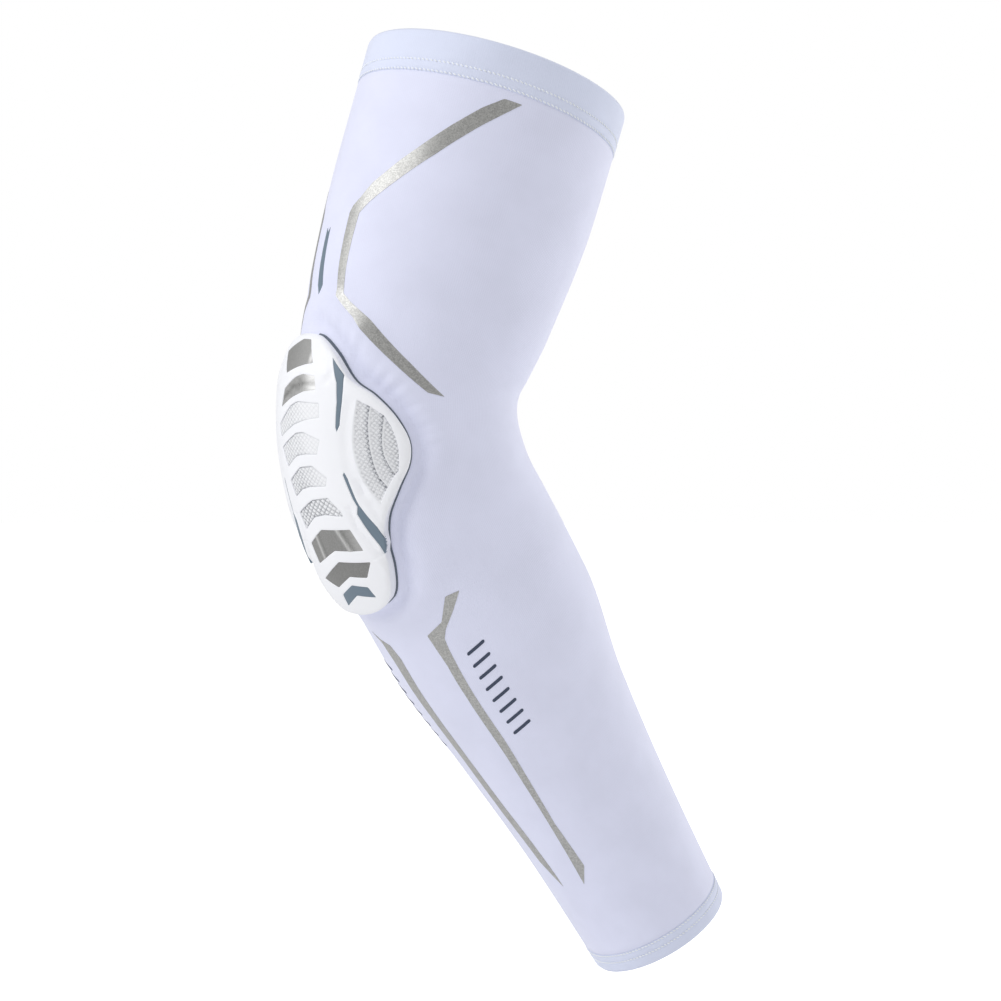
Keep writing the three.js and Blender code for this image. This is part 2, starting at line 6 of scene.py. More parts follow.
import bmesh
import bpy
import numpy as np
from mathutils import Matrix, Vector


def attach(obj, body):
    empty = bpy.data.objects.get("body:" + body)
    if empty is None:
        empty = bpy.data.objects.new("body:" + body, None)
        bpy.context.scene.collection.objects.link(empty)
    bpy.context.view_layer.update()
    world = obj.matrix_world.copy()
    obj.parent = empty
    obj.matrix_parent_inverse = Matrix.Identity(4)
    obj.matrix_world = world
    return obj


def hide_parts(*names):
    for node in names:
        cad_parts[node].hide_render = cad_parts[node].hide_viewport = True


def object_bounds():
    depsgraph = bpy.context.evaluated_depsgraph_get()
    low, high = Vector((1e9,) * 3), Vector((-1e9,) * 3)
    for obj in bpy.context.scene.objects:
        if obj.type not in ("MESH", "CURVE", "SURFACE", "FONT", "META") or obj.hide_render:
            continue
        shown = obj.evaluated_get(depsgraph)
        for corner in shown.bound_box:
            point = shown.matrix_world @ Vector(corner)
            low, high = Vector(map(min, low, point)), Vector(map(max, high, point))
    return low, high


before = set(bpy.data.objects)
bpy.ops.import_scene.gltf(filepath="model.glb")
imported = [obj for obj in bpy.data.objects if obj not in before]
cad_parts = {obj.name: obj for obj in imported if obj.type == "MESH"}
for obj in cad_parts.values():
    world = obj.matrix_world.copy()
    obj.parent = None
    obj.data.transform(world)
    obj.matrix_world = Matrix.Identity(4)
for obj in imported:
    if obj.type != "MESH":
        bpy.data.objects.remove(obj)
cad_low, cad_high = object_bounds()

bl_info = {
    "name": "Padded Arm Sleeve",
    "version": (1, 0, 0),
    "blender": (4, 5, 0),
    "location": "View3D > Sidebar > Arm Sleeve",
    "description": "Builds the cloth, pad and printed marks of a padded arm sleeve",
    "category": "Add Mesh",
}

MM = 0.001

# Distances in metres
EDGE_ROUND, EDGE_DROP = 2.6 * MM, 1.3 * MM
CLOSE_SPOTS = 0.3 * MM
SHELL_SLICE, MESH_SLICE, FILM_SLICE, PRINT_SLICE = 1.3 * MM, 0.42 * MM, 0.8 * MM, 1.5 * MM
FIRST_TICK, TICK_COUNT, TICK_RISE = 31 * MM, 8, 1.2 * MM
MARK_ABOVE_PAD = 13 * MM

# The camera and the lights: name, place, size and power
CAMERA_LENS, CAMERA_SENSOR, CAMERA_AWAY, CAMERA_AZIMUTH = 107.8, 36, 1.25, -31
CAMERA_TARGET = (41.9, 0, -20.8)
SOFTBOXES = [
    ("left_softbox", (-1.55, 0.10, 1.30), 1.8, 21.0),
    ("right_softbox", (1.93, 0.10, 0.52), 1.8, 17.0),
]


# Properties

def length(name, default, description):
    return bpy.props.FloatProperty(
        name=name, default=default, description=description, unit="LENGTH", precision=5)


def colour(name, default, description):
    return bpy.props.FloatVectorProperty(
        name=name, default=default, description=description, subtype="COLOR", size=3, min=0, max=1)


class ArmSizes(bpy.types.PropertyGroup):
    """The bent arm that the sleeve is stretched on"""
    upper_length: length("Upper Length", 0.160, "Middle line from the top rim to the elbow")
    fore_length: length("Forearm Length", 0.239, "Middle line from the elbow to the wrist rim")
    bend_radius: length("Bend Radius", 0.090, "Radius of the middle line at the elbow")
    top_depth: length("Top Depth", 0.1124, "Depth of the sleeve at its top rim")
    elbow_depth: length("Elbow Depth", 0.0924, "Depth of the sleeve at the elbow")
    fore_depth: length("Forearm Depth", 0.0798, "Depth of the sleeve at the forearm")
    wrist_depth: length("Wrist Depth", 0.0628, "Depth of the sleeve at its wrist rim")
    upper_lean: bpy.props.FloatProperty(
        name="Upper Lean", default=math.radians(17.5), subtype="ANGLE",
        description="Lean of the upper arm")
    fore_lean: bpy.props.FloatProperty(
        name="Forearm Lean", default=math.radians(32.8), subtype="ANGLE",
        description="Lean of the forearm")
    width_to_depth: bpy.props.FloatProperty(
        name="Width To Depth", default=0.93, description="Width of the arm as a share of its depth")


class ClothSizes(bpy.types.PropertyGroup):
    """The knit cloth, its hems and their stitches"""
    cloth_wall: length("Cloth Wall", 0.0012, "Thickness of the knit")
    upper_hem: length("Upper Hem", 0.018, "Width of the doubled hem at the top")
    wrist_hem: length("Wrist Hem", 0.0096, "Width of the doubled hem at the wrist")
    hem_wall: length("Hem Wall", 0.0022, "Thickness of the doubled hems")
    stitch_pitch: length("Stitch Pitch", 0.0019, "From one stitch to the next")
    thread_width: length("Thread Width", 0.00075, "Width of the sewing thread")
    roll_height: length("Roll Height", 0.0026, "Height of the soft roll of cloth round the pad")


class PadSizes(bpy.types.PropertyGroup):
    """The moulded elbow pad"""
    pad_length: length("Pad Length", 0.120, "Length of the pad along the arm")
    pad_half_width: length("Pad Half Width", 0.047, "From the pad's middle to a wing's edge")
    pad_below_elbow: length("Pad Below Elbow", 0.005, "From the elbow down to the pad's middle")
    pad_height: length("Pad Height", 0.010, "Height of the pad above the cloth")
    pad_edge_drop: length("Pad Edge Drop", 0.0022, "How much lower the pad is at its wings")
    shell_inset: length("Shell Inset", 0.0007, "From the foam's edge in to the shell's")
    mesh_pitch: length("Mesh Pitch", 0.0021, "From one hole of the mesh to the next")
    mesh_depth: length("Mesh Depth", 0.0007, "Depth of the holes of the mesh")


class PrintSizes(bpy.types.PropertyGroup):
    """The printed marks"""
    film: length("Film", 0.00012, "Thickness of the printed film")
    mark_length: length("Mark Length", 0.028, "Length of the mark on the upper arm")
    mark_width: length("Mark Width", 0.004, "Width of the mark on the upper arm")
    tick_pitch: length("Tick Pitch", 0.0058, "From one tick to the next")
    tick_length: length("Tick Length", 0.009, "Length of a tick")
    tick_width: length("Tick Width", 0.0014, "Width of a tick")


class SleeveColours(bpy.types.PropertyGroup):
    """Colours of the sleeve"""
    knit: colour("Knit", (0.770, 0.790, 0.960), "The stretched knit cloth")
    # The hems' colour is the knit's colour made darker and bluer: painted shade on the doubled hems.
    hem: colour("Hem", (0.720, 0.765, 0.930), "The doubled hems")
    thread: colour("Thread", (0.90, 0.93, 1.00), "The sewing thread")
    shell: colour("Shell", (0.920, 0.930, 0.970), "The moulded shell")
    # The foam's dark colour is partly its own and partly painted shade: its thin edge under the shell
    # stands for the shaded gap between the pad and the cloth.
    foam: colour("Foam", (0.115, 0.14, 0.18), "The foam under the shell")
    mesh: colour("Mesh", (0.90, 0.91, 0.94), "The knit mesh in the windows")
    # The hole colour is painted shade: the mesh's holes and the dark line along each window's edge are
    # mixed towards it.
    mesh_hole: colour("Mesh Hole", (0.20, 0.21, 0.24), "The backing behind the mesh")
    foil: colour("Foil", (0.215, 0.215, 0.210), "The silver film in the windows")
    slate: colour("Slate", (0.155, 0.21, 0.265), "The slate inlays and marks")
    navy: colour("Navy", (0.040, 0.055, 0.100), "The printed ticks")
    silver: colour("Silver", (0.43, 0.43, 0.42), "The printed silver stripes")
    floor: colour("Floor", (0.92, 0.92, 0.92), "The floor")


# Tables: lengths as shares of the named sizes

TOP, ELBOW, FORE, WRIST = "top_depth", "elbow_depth", "fore_depth", "wrist_depth"
ARM_SECTIONS = [
    {"at": 0.00, "follows": TOP, "outer": 0.492, "inner": 0.507},
    {"at": 0.12, "follows": TOP, "outer": 0.491, "inner": 0.496},
    {"at": 0.25, "follows": TOP, "outer": 0.472, "inner": 0.440},
    {"at": 0.34, "follows": ELBOW, "outer": 0.519, "inner": 0.470},
    {"at": 0.42, "follows": ELBOW, "outer": 0.495, "inner": 0.504},
    {"at": 0.50, "follows": ELBOW, "outer": 0.488, "inner": 0.527},
    {"at": 0.60, "follows": ELBOW, "outer": 0.491, "inner": 0.517},
    {"at": 0.72, "follows": FORE, "outer": 0.501, "inner": 0.499},
    {"at": 0.86, "follows": WRIST, "outer": 0.546, "inner": 0.553},
    {"at": 1.00, "follows": WRIST, "outer": 0.500, "inner": 0.500},
]
PATTERN_TURN = [
    {"at": 0.000, "turn": -2}, {"at": 0.220, "turn": -2}, {"at": 0.325, "turn": 7},
    {"at": 0.390, "turn": 12}, {"at": 0.460, "turn": 18}, {"at": 1.000, "turn": 18},
]
PAD_SHIFT = -0.085
PAD_OUTLINE = [
    {"across": 0.10, "along": -0.515}, {"across": 0.24, "along": -0.503},
    {"across": 0.42, "along": -0.449}, {"across": 0.59, "along": -0.357},
    {"across": 0.76, "along": -0.310}, {"across": 0.92, "along": -0.230},
    {"across": 1.00, "along": -0.125}, {"across": 0.95, "along": -0.035},
    {"across": 0.77, "along": 0.065}, {"across": 0.59, "along": 0.160},
    {"across": 0.50, "along": 0.250}, {"across": 0.45, "along": 0.350},
    {"across": 0.34, "along": 0.438}, {"across": 0.13, "along": 0.490},
]
PAD_CREST = [
    {"at": -0.52, "height": 0.42}, {"at": -0.44, "height": 0.70}, {"at": -0.35, "height": 0.92},
    {"at": -0.17, "height": 1.00}, {"at": 0.17, "height": 0.97}, {"at": 0.37, "height": 0.92},
    {"at": 0.50, "height": 0.74},
]
SHELL_FLOOR = 0.60
SHELL_SKIRT = 0.20
FILLING_TOP = {"foil": 0.972, "mesh": 0.955, "slate": 0.985}
WINDOWS = [
    {"name": "top_foil", "kind": "foil", "outline": [
        (-0.266, -0.454), (0.016, -0.490), (0.133, -0.487), (0.218, -0.406), (0.138, -0.402),
        (0.021, -0.392), (-0.138, -0.375)]},
    {"name": "upper_foil", "kind": "foil", "outline": [
        (-0.149, -0.325), (0.027, -0.360), (0.117, -0.369), (0.255, -0.362), (0.266, -0.317),
        (0.128, -0.312), (-0.011, -0.296), (-0.213, -0.265)]},
    {"name": "mesh_1", "kind": "mesh", "outline": [
        (-0.277, -0.210), (-0.043, -0.269), (0.053, -0.281), (0.293, -0.273), (0.282, -0.225),
        (0.128, -0.219), (0.000, -0.208), (-0.271, -0.167)]},
    {"name": "mesh_2", "kind": "mesh", "outline": [
        (-0.277, -0.135), (-0.005, -0.179), (0.090, -0.181), (0.255, -0.152), (0.197, -0.104),
        (0.064, -0.108), (-0.043, -0.104), (-0.223, -0.069)]},
    {"name": "mesh_3", "kind": "mesh", "outline": [
        (-0.245, -0.025), (-0.037, -0.067), (0.117, -0.069), (0.234, -0.025), (0.197, 0.004),
        (0.021, 0.000), (-0.080, 0.006), (-0.218, 0.031)]},
    {"name": "mesh_4", "kind": "mesh", "outline": [
        (-0.250, 0.083), (-0.005, 0.044), (0.176, 0.042), (0.255, 0.100), (0.250, 0.113),
        (0.080, 0.098), (-0.048, 0.102), (-0.234, 0.142)]},
    {"name": "lower_foil", "kind": "foil", "outline": [
        (-0.245, 0.190), (-0.027, 0.146), (0.266, 0.160), (0.309, 0.242), (0.032, 0.223),
        (-0.239, 0.263)]},
    {"name": "low_foil", "kind": "foil", "outline": [
        (-0.266, 0.319), (0.027, 0.263), (0.330, 0.287), (0.239, 0.338), (0.074, 0.321),
        (-0.122, 0.354)]},
    {"name": "slate_chevron", "kind": "slate", "outline": [
        (-0.112, 0.381), (0.053, 0.352), (0.202, 0.371), (0.223, 0.415), (0.048, 0.392),
        (-0.138, 0.427)]},
]
WEDGES = {
    "upper_wedge": [(0.415, -0.427), (0.527, -0.369), (0.516, -0.319), (0.500, -0.277),
                    (0.457, -0.198), (0.426, -0.177), (0.420, -0.190), (0.457, -0.277),
                    (0.463, -0.342), (0.441, -0.377)],
    "lower_wedge": [(0.404, -0.037), (0.415, -0.015), (0.420, 0.054), (0.426, 0.081),
                    (0.457, 0.125), (0.500, 0.173), (0.516, 0.215), (0.503, 0.250), (0.476, 0.272),
                    (0.463, 0.240), (0.426, 0.194), (0.404, 0.158), (0.383, 0.113), (0.410, 0.087),
                    (0.399, 0.062), (0.388, -0.029)],
}
LEAF_TOP = [(0.622, -0.285), (0.723, -0.262), (0.824, -0.228)]
LEAF_INNER = [(0.622, -0.285), (0.580, -0.215), (0.537, -0.127), (0.527, -0.056), (0.543, 0.017),
              (0.600, 0.092)]
LEAF_MIDDLE = [(0.723, -0.262), (0.690, -0.196), (0.668, -0.106), (0.668, -0.013), (0.707, 0.037)]
LEAF_FAR = [(0.824, -0.228), (0.775, -0.138), (0.763, -0.081), (0.780, -0.035), (0.800, -0.005)]
LEAF_OUTER = [(0.824, -0.228), (0.872, -0.173), (0.882, -0.096), (0.838, -0.022), (0.800, -0.005)]
LEAF_LINES = (LEAF_INNER, LEAF_MIDDLE, LEAF_FAR, LEAF_OUTER)
RELIEF = [
    {"line": [(0.340, 0.087), (0.335, 0.156), (0.356, 0.190), (0.394, 0.231), (0.431, 0.273),
              (0.463, 0.329)], "rise": -0.075, "reach": 0.9},
    {"line": [(0.489, 0.002), (0.516, 0.075), (0.532, 0.125), (0.553, 0.177)],
     "rise": -0.060, "reach": 0.9},
    {"line": [(0.569, -0.277), (0.511, -0.198), (0.473, -0.113), (0.457, -0.042), (0.495, 0.040)],
     "rise": -0.050, "reach": 1.8},
    {"line": [(0.367, -0.338), (0.420, -0.377)], "rise": -0.060, "reach": 0.6},
    {"line": [(0.261, -0.469), (0.319, -0.446), (0.356, -0.410), (0.356, -0.367)],
     "rise": 0.030, "reach": 0.9},
]
UPPER_STRIPE = [
    (67.2, 21.6), (59.7, 27.6), (49.8, 37.6), (38.1, 50.0), (32.4, 55.6), (27.0, 61.2), (21.9, 66.0),
    (17.1, 72.4), (13.8, 76.0), (12.6, 79.0), (12.3, 93.6), (10.8, 113.2), (22.8, 123.6),
    (35.1, 131.4), (47.4, 139.6), (54.0, 140.4), (42.3, 131.2), (29.4, 122.4), (18.3, 115.0),
    (14.6, 111.8), (17.1, 93.2), (18.2, 79.0), (22.2, 74.2), (33.0, 64.0), (46.2, 50.8),
    (52.8, 43.6), (60.9, 35.0), (74.7, 21.6)]
LONG_STRIPE = [
    (27.3, 208.4), (20.7, 217.6), (12.0, 220.8), (13.4, 236.0), (13.3, 251.2), (12.0, 282.0),
    (10.6, 311.2), (8.1, 352.8), (12.9, 344.4), (12.4, 321.2), (14.0, 300.4), (15.8, 275.6),
    (17.2, 245.6), (17.7, 229.8), (18.3, 224.6), (20.8, 221.0), (27.3, 215.2), (33.6, 208.8)]
EDGE_STRIPE = [
    (-20.7, 215.2), (-16.2, 220.8), (-14.4, 231.6), (-12.4, 257.6), (-12.2, 286.4), (-10.9, 312.4),
    (-8.1, 338.4), (-3.0, 352.0), (-3.2, 345.6), (-4.6, 327.6), (-6.4, 307.6), (-7.8, 281.6),
    (-7.6, 252.4), (-8.4, 228.0), (-10.8, 221.6), (-16.2, 218.6)]


# The arm's form

def smooth_column(rows, column, scale=1.0):
    """A function that runs smoothly through a table's column and never swings past its rows."""
    at = np.array([row["at"] for row in rows])
    value = np.array([row[column] for row in rows]) * scale
    step = np.diff(at)
    rise = np.diff(value) / step
    slope = np.concatenate([rise[:1], np.zeros(len(rows) - 2), rise[-1:]])
    for k in range(1, len(rows) - 1):
        if rise[k - 1] * rise[k] > 0:
            before = 2 * step[k] + step[k - 1]
            after = step[k] + 2 * step[k - 1]
            slope[k] = (before + after) / (before / rise[k - 1] + after / rise[k])

    def read(place):
        place = np.clip(place, at[0], at[-1])
        i = np.clip(np.searchsorted(at, place, side="right") - 1, 0, len(rows) - 2)
        t = (place - at[i]) / step[i]
        start = (1 + 2 * t) * (1 - t) ** 2 * value[i] + t * (1 - t) ** 2 * step[i] * slope[i]
        end = t * t * (3 - 2 * t) * value[i + 1] - t * t * (1 - t) * step[i] * slope[i + 1]
        return start + end

    return read


def smooth_step(low, high, value):
    t = np.clip((value - low) / (high - low), 0, 1)
    return t * t * (3 - 2 * t)


def closed_curve(points, steps):
    """A smooth closed outline through some points, with centripetal spacing."""
    points = [Vector(p) for p in points]
    count = len(points)
    made = []
    for i in range(count):
        p0, p1, p2, p3 = (points[(i + k) % count] for k in (-1, 0, 1, 2))
        d0, d1, d2 = (math.sqrt((b - a).length) for a, b in ((p0, p1), (p1, p2), (p2, p3)))
        t1 = ((p1 - p0) / d0 - (p2 - p0) / (d0 + d1) + (p2 - p1) / d1) * d1
        t2 = ((p2 - p1) / d1 - (p3 - p1) / (d1 + d2) + (p3 - p2) / d2) * d1
        for k in range(steps):
            t = k / steps
            made.append(
                p1 * (2 * t ** 3 - 3 * t ** 2 + 1) + t1 * (t ** 3 - 2 * t ** 2 + t)
                + p2 * (3 * t ** 2 - 2 * t ** 3) + t2 * (t ** 3 - t ** 2))
    return made


def distance_to_outline(outline, x, y):
    """Distance from flat points to a closed outline, negative inside it."""
    nearest = np.full(np.shape(x), np.inf)
    inside = np.zeros(np.shape(x), bool)
    for a, b in zip(outline, outline[1:] + outline[:1]):
        edge = b - a
        t = np.clip(((x - a.x) * edge.x + (y - a.y) * edge.y) / edge.length_squared, 0, 1)
        away = np.hypot(x - a.x - t * edge.x, y - a.y - t * edge.y)
        nearest = np.minimum(nearest, away)
        if edge.y != 0:
            crosses = (a.y > y) != (b.y > y)
            inside ^= crosses & (x < a.x + (y - a.y) * edge.x / edge.y)
    return np.where(inside, -nearest, nearest)


def distance_to_line(line, x, y):
    """Distance from flat points to an open line of points."""
    nearest = np.full(np.shape(x), np.inf)
    for a, b in zip(line, line[1:]):
        edge = Vector(b) - Vector(a)
        t = np.clip(((x - a[0]) * edge.x + (y - a[1]) * edge.y) / edge.length_squared, 0, 1)
        nearest = np.minimum(nearest, np.hypot(x - a[0] - t * edge.x, y - a[1] - t * edge.y))
    return nearest


class ArmForm:
    """The bent arm's skin, and the places of the pad and the prints on it."""

    def __init__(self, scene):
        self.arm = scene.sleeve_arm
        self.cloth = scene.sleeve_cloth
        self.pad = scene.sleeve_pad
        self.length = self.arm.upper_length + self.arm.fore_length
        sections = [
            {"at": row["at"], "outer": row["outer"] * getattr(self.arm, row["follows"]),
             "inner": row["inner"] * getattr(self.arm, row["follows"])} for row in ARM_SECTIONS]
        self.outer = smooth_column(sections, "outer")
        self.inner = smooth_column(sections, "inner")
        self.turn = smooth_column(PATTERN_TURN, "turn", math.radians(1))
        self.crest = smooth_column(PAD_CREST, "height", self.pad.pad_height)
        self.pad_middle_height = self.pad.pad_height / 2
        self.pad_stretch = 1 + (self.arm.elbow_depth / 2 + self.pad_middle_height) / self.arm.bend_radius
        side = [Vector((row["across"] * self.pad.pad_half_width, -row["along"] * self.pad.pad_length))
                for row in PAD_OUTLINE]
        mirrored = [Vector((-p.x, p.y)) for p in side]
        self.pad_outline = closed_curve(side + mirrored[::-1], 6)

    def middle_line(self, down):
        arm = self.arm
        half = arm.bend_radius * (arm.upper_lean + arm.fore_lean) / 2
        from_elbow = down - arm.upper_length
        curved = np.clip(from_elbow, -half, half)
        middle = (arm.fore_lean - arm.upper_lean) / 2
        lean = middle + curved / arm.bend_radius
        straight = from_elbow - curved
        x = arm.bend_radius * (math.cos(middle) - np.cos(lean)) + straight * np.sin(lean)
        z = -arm.bend_radius * (np.sin(lean) - math.sin(middle)) - straight * np.cos(lean)
        return x, z, lean

    def skin(self, down, around):
        x, z, lean = self.middle_line(down)
        outer = self.outer(down / self.length)
        inner = self.inner(down / self.length)
        side = self.arm.width_to_depth * (outer + inner) / 2
        reach = np.where(np.cos(around) > 0, outer, inner) * np.cos(around)
        return np.stack([x - np.cos(lean) * reach, -side * np.sin(around), z - np.sin(lean) * reach], -1)

    def above(self, down, around, height):
        step_down = 0.05 * MM
        step_around = 0.001
        along = self.skin(down + step_down, around) - self.skin(down - step_down, around)
        across = self.skin(down, around + step_around) - self.skin(down, around - step_around)
        normal = np.cross(along, across)
        normal /= np.linalg.norm(normal, axis=-1, keepdims=True)
        return self.skin(down, around) + normal * np.asarray(height)[..., None]

    def mean_radius(self, down):
        at = down / self.length
        return (self.outer(at) + self.inner(at)) * (1 + self.arm.width_to_depth) / 4

    def pad_place(self, x, y):
        down = self.arm.upper_length + self.pad.pad_below_elbow - y / self.pad_stretch
        from_pattern = x + PAD_SHIFT * self.pad.pad_half_width
        radius = self.mean_radius(down) + self.pad_middle_height
        return down, self.turn(down / self.length) + from_pattern / radius

    def pad_flat(self, down, around):
        """Where a place on the arm lies on the pad's flat layout."""
        y = (self.arm.upper_length + self.pad.pad_below_elbow - down) * self.pad_stretch
        turned = around - self.turn(down / self.length)
        turned = np.arctan2(np.sin(turned), np.cos(turned))
        x = turned * (self.mean_radius(down) + self.pad_middle_height)
        return x - PAD_SHIFT * self.pad.pad_half_width, y

    def pad_height(self, x, y):
        share = np.minimum(np.abs(x) / self.pad.pad_half_width, 1)
        crest = self.crest(-y / self.pad.pad_length)
        return crest - self.pad.pad_edge_drop * (crest / self.pad.pad_height) * share ** 2

    def pad_top(self, x, y):
        """The shell's moulded top: its crest, its rounded edge, and its ridges and valleys."""
        across = np.abs(x)
        from_edge = -distance_to_outline(self.pad_outline, x, y)
        top = self.pad_height(x, y) - EDGE_DROP * (1 - smooth_step(0, EDGE_ROUND, from_edge)) ** 2
        for row in RELIEF:
            line = [(a * self.pad.pad_half_width, -b * self.pad.pad_length) for a, b in row["line"]]
            away = distance_to_line(line, across, y) / (row["reach"] * MM)
            top = top + row["rise"] * self.pad.pad_height * np.exp(-away ** 2)
        return top

    def shell_floor(self, x, y):
        """The shell's underside: a skirt round the edge reaches lower than the middle."""
        from_edge = -distance_to_outline(self.pad_outline, x, y)
        # At the pad's top end the skirt stops higher, so that a wider edge of the dark foam shows there
        # as painted shade of the gap.
        top_end = (smooth_step(0.34, 0.50, y / self.pad.pad_length)
                   * smooth_step(0.06, 0.24, x / self.pad.pad_half_width))
        skirt = SHELL_SKIRT + 0.25 * top_end
        share = skirt + (SHELL_FLOOR - skirt) * smooth_step(1.5 * MM, 4 * MM, from_edge)
        return share * self.pad_height(x, y)

    def print_place(self, x, y):
        down = -y
        return down, self.turn(down / self.length) + x / self.mean_radius(down)

    def cloth_rise(self, down, around):
        """How far the cloth stands off the arm: a soft roll with puckers round the pad."""
        down, around = np.broadcast_arrays(down, around)
        x, y = self.pad_flat(down, around)
        near = (np.abs(x) < 0.10) & (np.abs(y) < 0.12)
        distance = np.full(x.shape, 1.0)
        distance[near] = distance_to_outline(self.pad_outline, x[near], y[near])
        right = smooth_step(-0.01, 0.02, x)
        valley = 1.0 * MM * np.exp(-(np.maximum(distance, 0) / (2.2 * MM)) ** 2)
        share = np.clip((distance - 3.5 * MM) / (25 * MM), 0, 1)
        roll = self.cloth.roll_height * np.sin(math.pi * share ** 0.62) ** 2 * (0.35 + 0.65 * right)
        angle = np.arctan2(y, x)
        folds = np.sin(angle * 43 + 2.6 * np.sin(angle * 7)) + 0.8 * np.sin(angle * 71 + 1.7)
        upper = smooth_step(-0.005, 0.02, y) * right
        fade = np.exp(-((distance - 8 * MM) / (5 * MM)) ** 2)
        pucker = 0.26 * MM * folds * fade * (0.3 + 0.7 * upper)
        return np.where(distance > 0, valley + roll + pucker, valley)


# Mesh helpers

def ring(bm, points):
    verts = [bm.verts.new((p[0], p[1], 0)) for p in points]
    return [bm.edges.new((a, b)) for a, b in zip(verts, verts[1:] + verts[:1])]


def smooth_line(points, steps):
    """A smooth open line through some points."""
    points = [Vector(p) for p in points]
    points = [points[0] * 2 - points[1], *points, points[-1] * 2 - points[-2]]
    made = []
    for i in range(1, len(points) - 2):
        p0, p1, p2, p3 = points[i - 1:i + 3]
        for k in range(steps):
            t = k / steps
            made.append((p1 * 2 + (p2 - p0) * t + (p0 * 2 - p1 * 5 + p2 * 4 - p3) * t * t
                         + (p1 * 3 - p0 - p2 * 3 + p3) * t ** 3) / 2)
    made.append(points[-2])
    return made


def softened(points, radius, steps=4):
    """An outline with its corners rounded off."""
    made = []
    count = len(points)
    for i in range(count):
        before, corner, after = (Vector(points[(i + k) % count]) for k in (-1, 0, 1))
        into, out = before - corner, after - corner
        reach = min(radius, into.length * 0.4, out.length * 0.4)
        start = corner + into.normalized() * reach
        end = corner + out.normalized() * reach
        for k in range(steps + 1):
            t = k / steps
            made.append(start * (1 - t) ** 2 + corner * 2 * t * (1 - t) + end * t * t)
    return made


def shrunk(points, distance):
    """An outline moved inwards by a distance, or outwards where the distance is negative."""
    points = [Vector(p) for p in points]
    count = len(points)
    area = sum(points[i - 1].cross(points[i]) for i in range(count))
    turn = 1 if area > 0 else -1
    made = []
    for i, point in enumerate(points):
        into = (point - points[i - 1]).normalized()
        out = (points[(i + 1) % count] - point).normalized()
        normals = [Vector((-d.y, d.x)) * turn for d in (into, out)]
        bisector = (normals[0] + normals[1]).normalized()
        made.append(point + bisector * distance / max(bisector.dot(normals[0]), 0.45))
    return made


def plate(outline, holes, thickness, rim):
    """A flat closed slab with holes. Its top rim is rounded in steps of (inset, rise)."""
    bm = bmesh.new()
    edges = ring(bm, outline)
    for hole in holes:
        edges += ring(bm, hole)
    filled = bmesh.ops.triangle_fill(bm, use_beauty=True, edges=edges, normal=(0, 0, 1))
    floor = [g for g in filled["geom"] if isinstance(g, bmesh.types.BMFace)]
    raised = bmesh.ops.extrude_face_region(bm, geom=floor)["geom"]
    top = [g for g in raised if isinstance(g, bmesh.types.BMFace)]
    lift = thickness - sum(rise for _, rise in rim)
    bmesh.ops.translate(
        bm, vec=(0, 0, lift), verts=[g for g in raised if isinstance(g, bmesh.types.BMVert)])
    bmesh.ops.recalc_face_normals(bm, faces=bm.faces[:])
    for inset, rise in rim:
        bmesh.ops.inset_region(
            bm, faces=top, use_boundary=True, use_even_offset=False, thickness=inset, depth=rise)
    return bm


def slice_up(bm, step_x, step_y):
    """Cuts a flat mesh by evenly spaced planes, so that it can bend."""
    for axis, step in ((0, step_x), (1, step_y)):
        spots = [v.co[axis] for v in bm.verts]
        normal = Vector((axis == 0, axis == 1, 0))
        for k in range(math.ceil(min(spots) / step), math.floor(max(spots) / step) + 1):
            bmesh.ops.bisect_plane(
                bm, geom=bm.verts[:] + bm.edges[:] + bm.faces[:], dist=1e-6,
                plane_co=normal * (k * step + 0.00001), plane_no=normal)


def flat_uv(bm):
    """A UV map in metres from the mesh's flat layout."""
    layer = bm.loops.layers.uv.new("UVMap")
    for face in bm.faces:
        for loop in face.loops:
            loop[layer].uv = loop.vert.co.xy


def wrap(bm, form, place, thickness, low, high):
    """Bends a flat slab round the arm, with its floor and top at the given heights."""
    spots = np.array([v.co[:] for v in bm.verts])
    x, y = spots[:, 0], spots[:, 1]
    share = spots[:, 2] / thickness
    height = low(x, y) * (1 - share) + high(x, y) * share
    down, around = place(x, y)
    for vert, point in zip(bm.verts, form.above(down, around, height)):
        vert.co = point


def finished(bm, name, material, replaces=(), sharp=40):
    """The piece made of a bmesh, riding on the sleeve's only body."""
    mesh = bpy.data.meshes.new(name)
    bm.to_mesh(mesh)
    bm.free()
    mesh.materials.append(material)
    mesh.shade_smooth()
    mesh.set_sharp_from_angle(angle=math.radians(sharp))
    piece = bpy.data.objects.new(name, mesh)
    bpy.context.scene.collection.objects.link(piece)
    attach(piece, "root")
    if replaces:
        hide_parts(*replaces)
    return piece


# Materials

def add_node(tree, kind, inputs=None, **settings):
    node = tree.nodes.new(kind)
    for key, value in settings.items():
        setattr(node, key, value)
    for key, value in (inputs or {}).items():
        if isinstance(value, bpy.types.NodeSocket):
            tree.links.new(value, node.inputs[key])
        else:
            node.inputs[key].default_value = value
    return node


def new_group(name, inputs, outputs):
    """A shader node group with float inputs, and outputs of the given kinds."""
    tree = bpy.data.node_groups.new(name, "ShaderNodeTree")
    for label, default in inputs.items():
        socket = tree.interface.new_socket(label, in_out="INPUT", socket_type="NodeSocketFloat")
        socket.default_value = default
    for label in outputs:
        tree.interface.new_socket(label, in_out="OUTPUT", socket_type="NodeSocketFloat")
    entry = tree.nodes.new("NodeGroupInput")
    leave = tree.nodes.new("NodeGroupOutput")
    return tree, entry, leave


def maths(tree, operation, first, second=None, third=None):
    inputs = {0: first}
    if second is not None:
        inputs[1] = second
    if third is not None:
        inputs[2] = third
    return add_node(tree, "ShaderNodeMath", inputs, operation=operation).outputs[0]


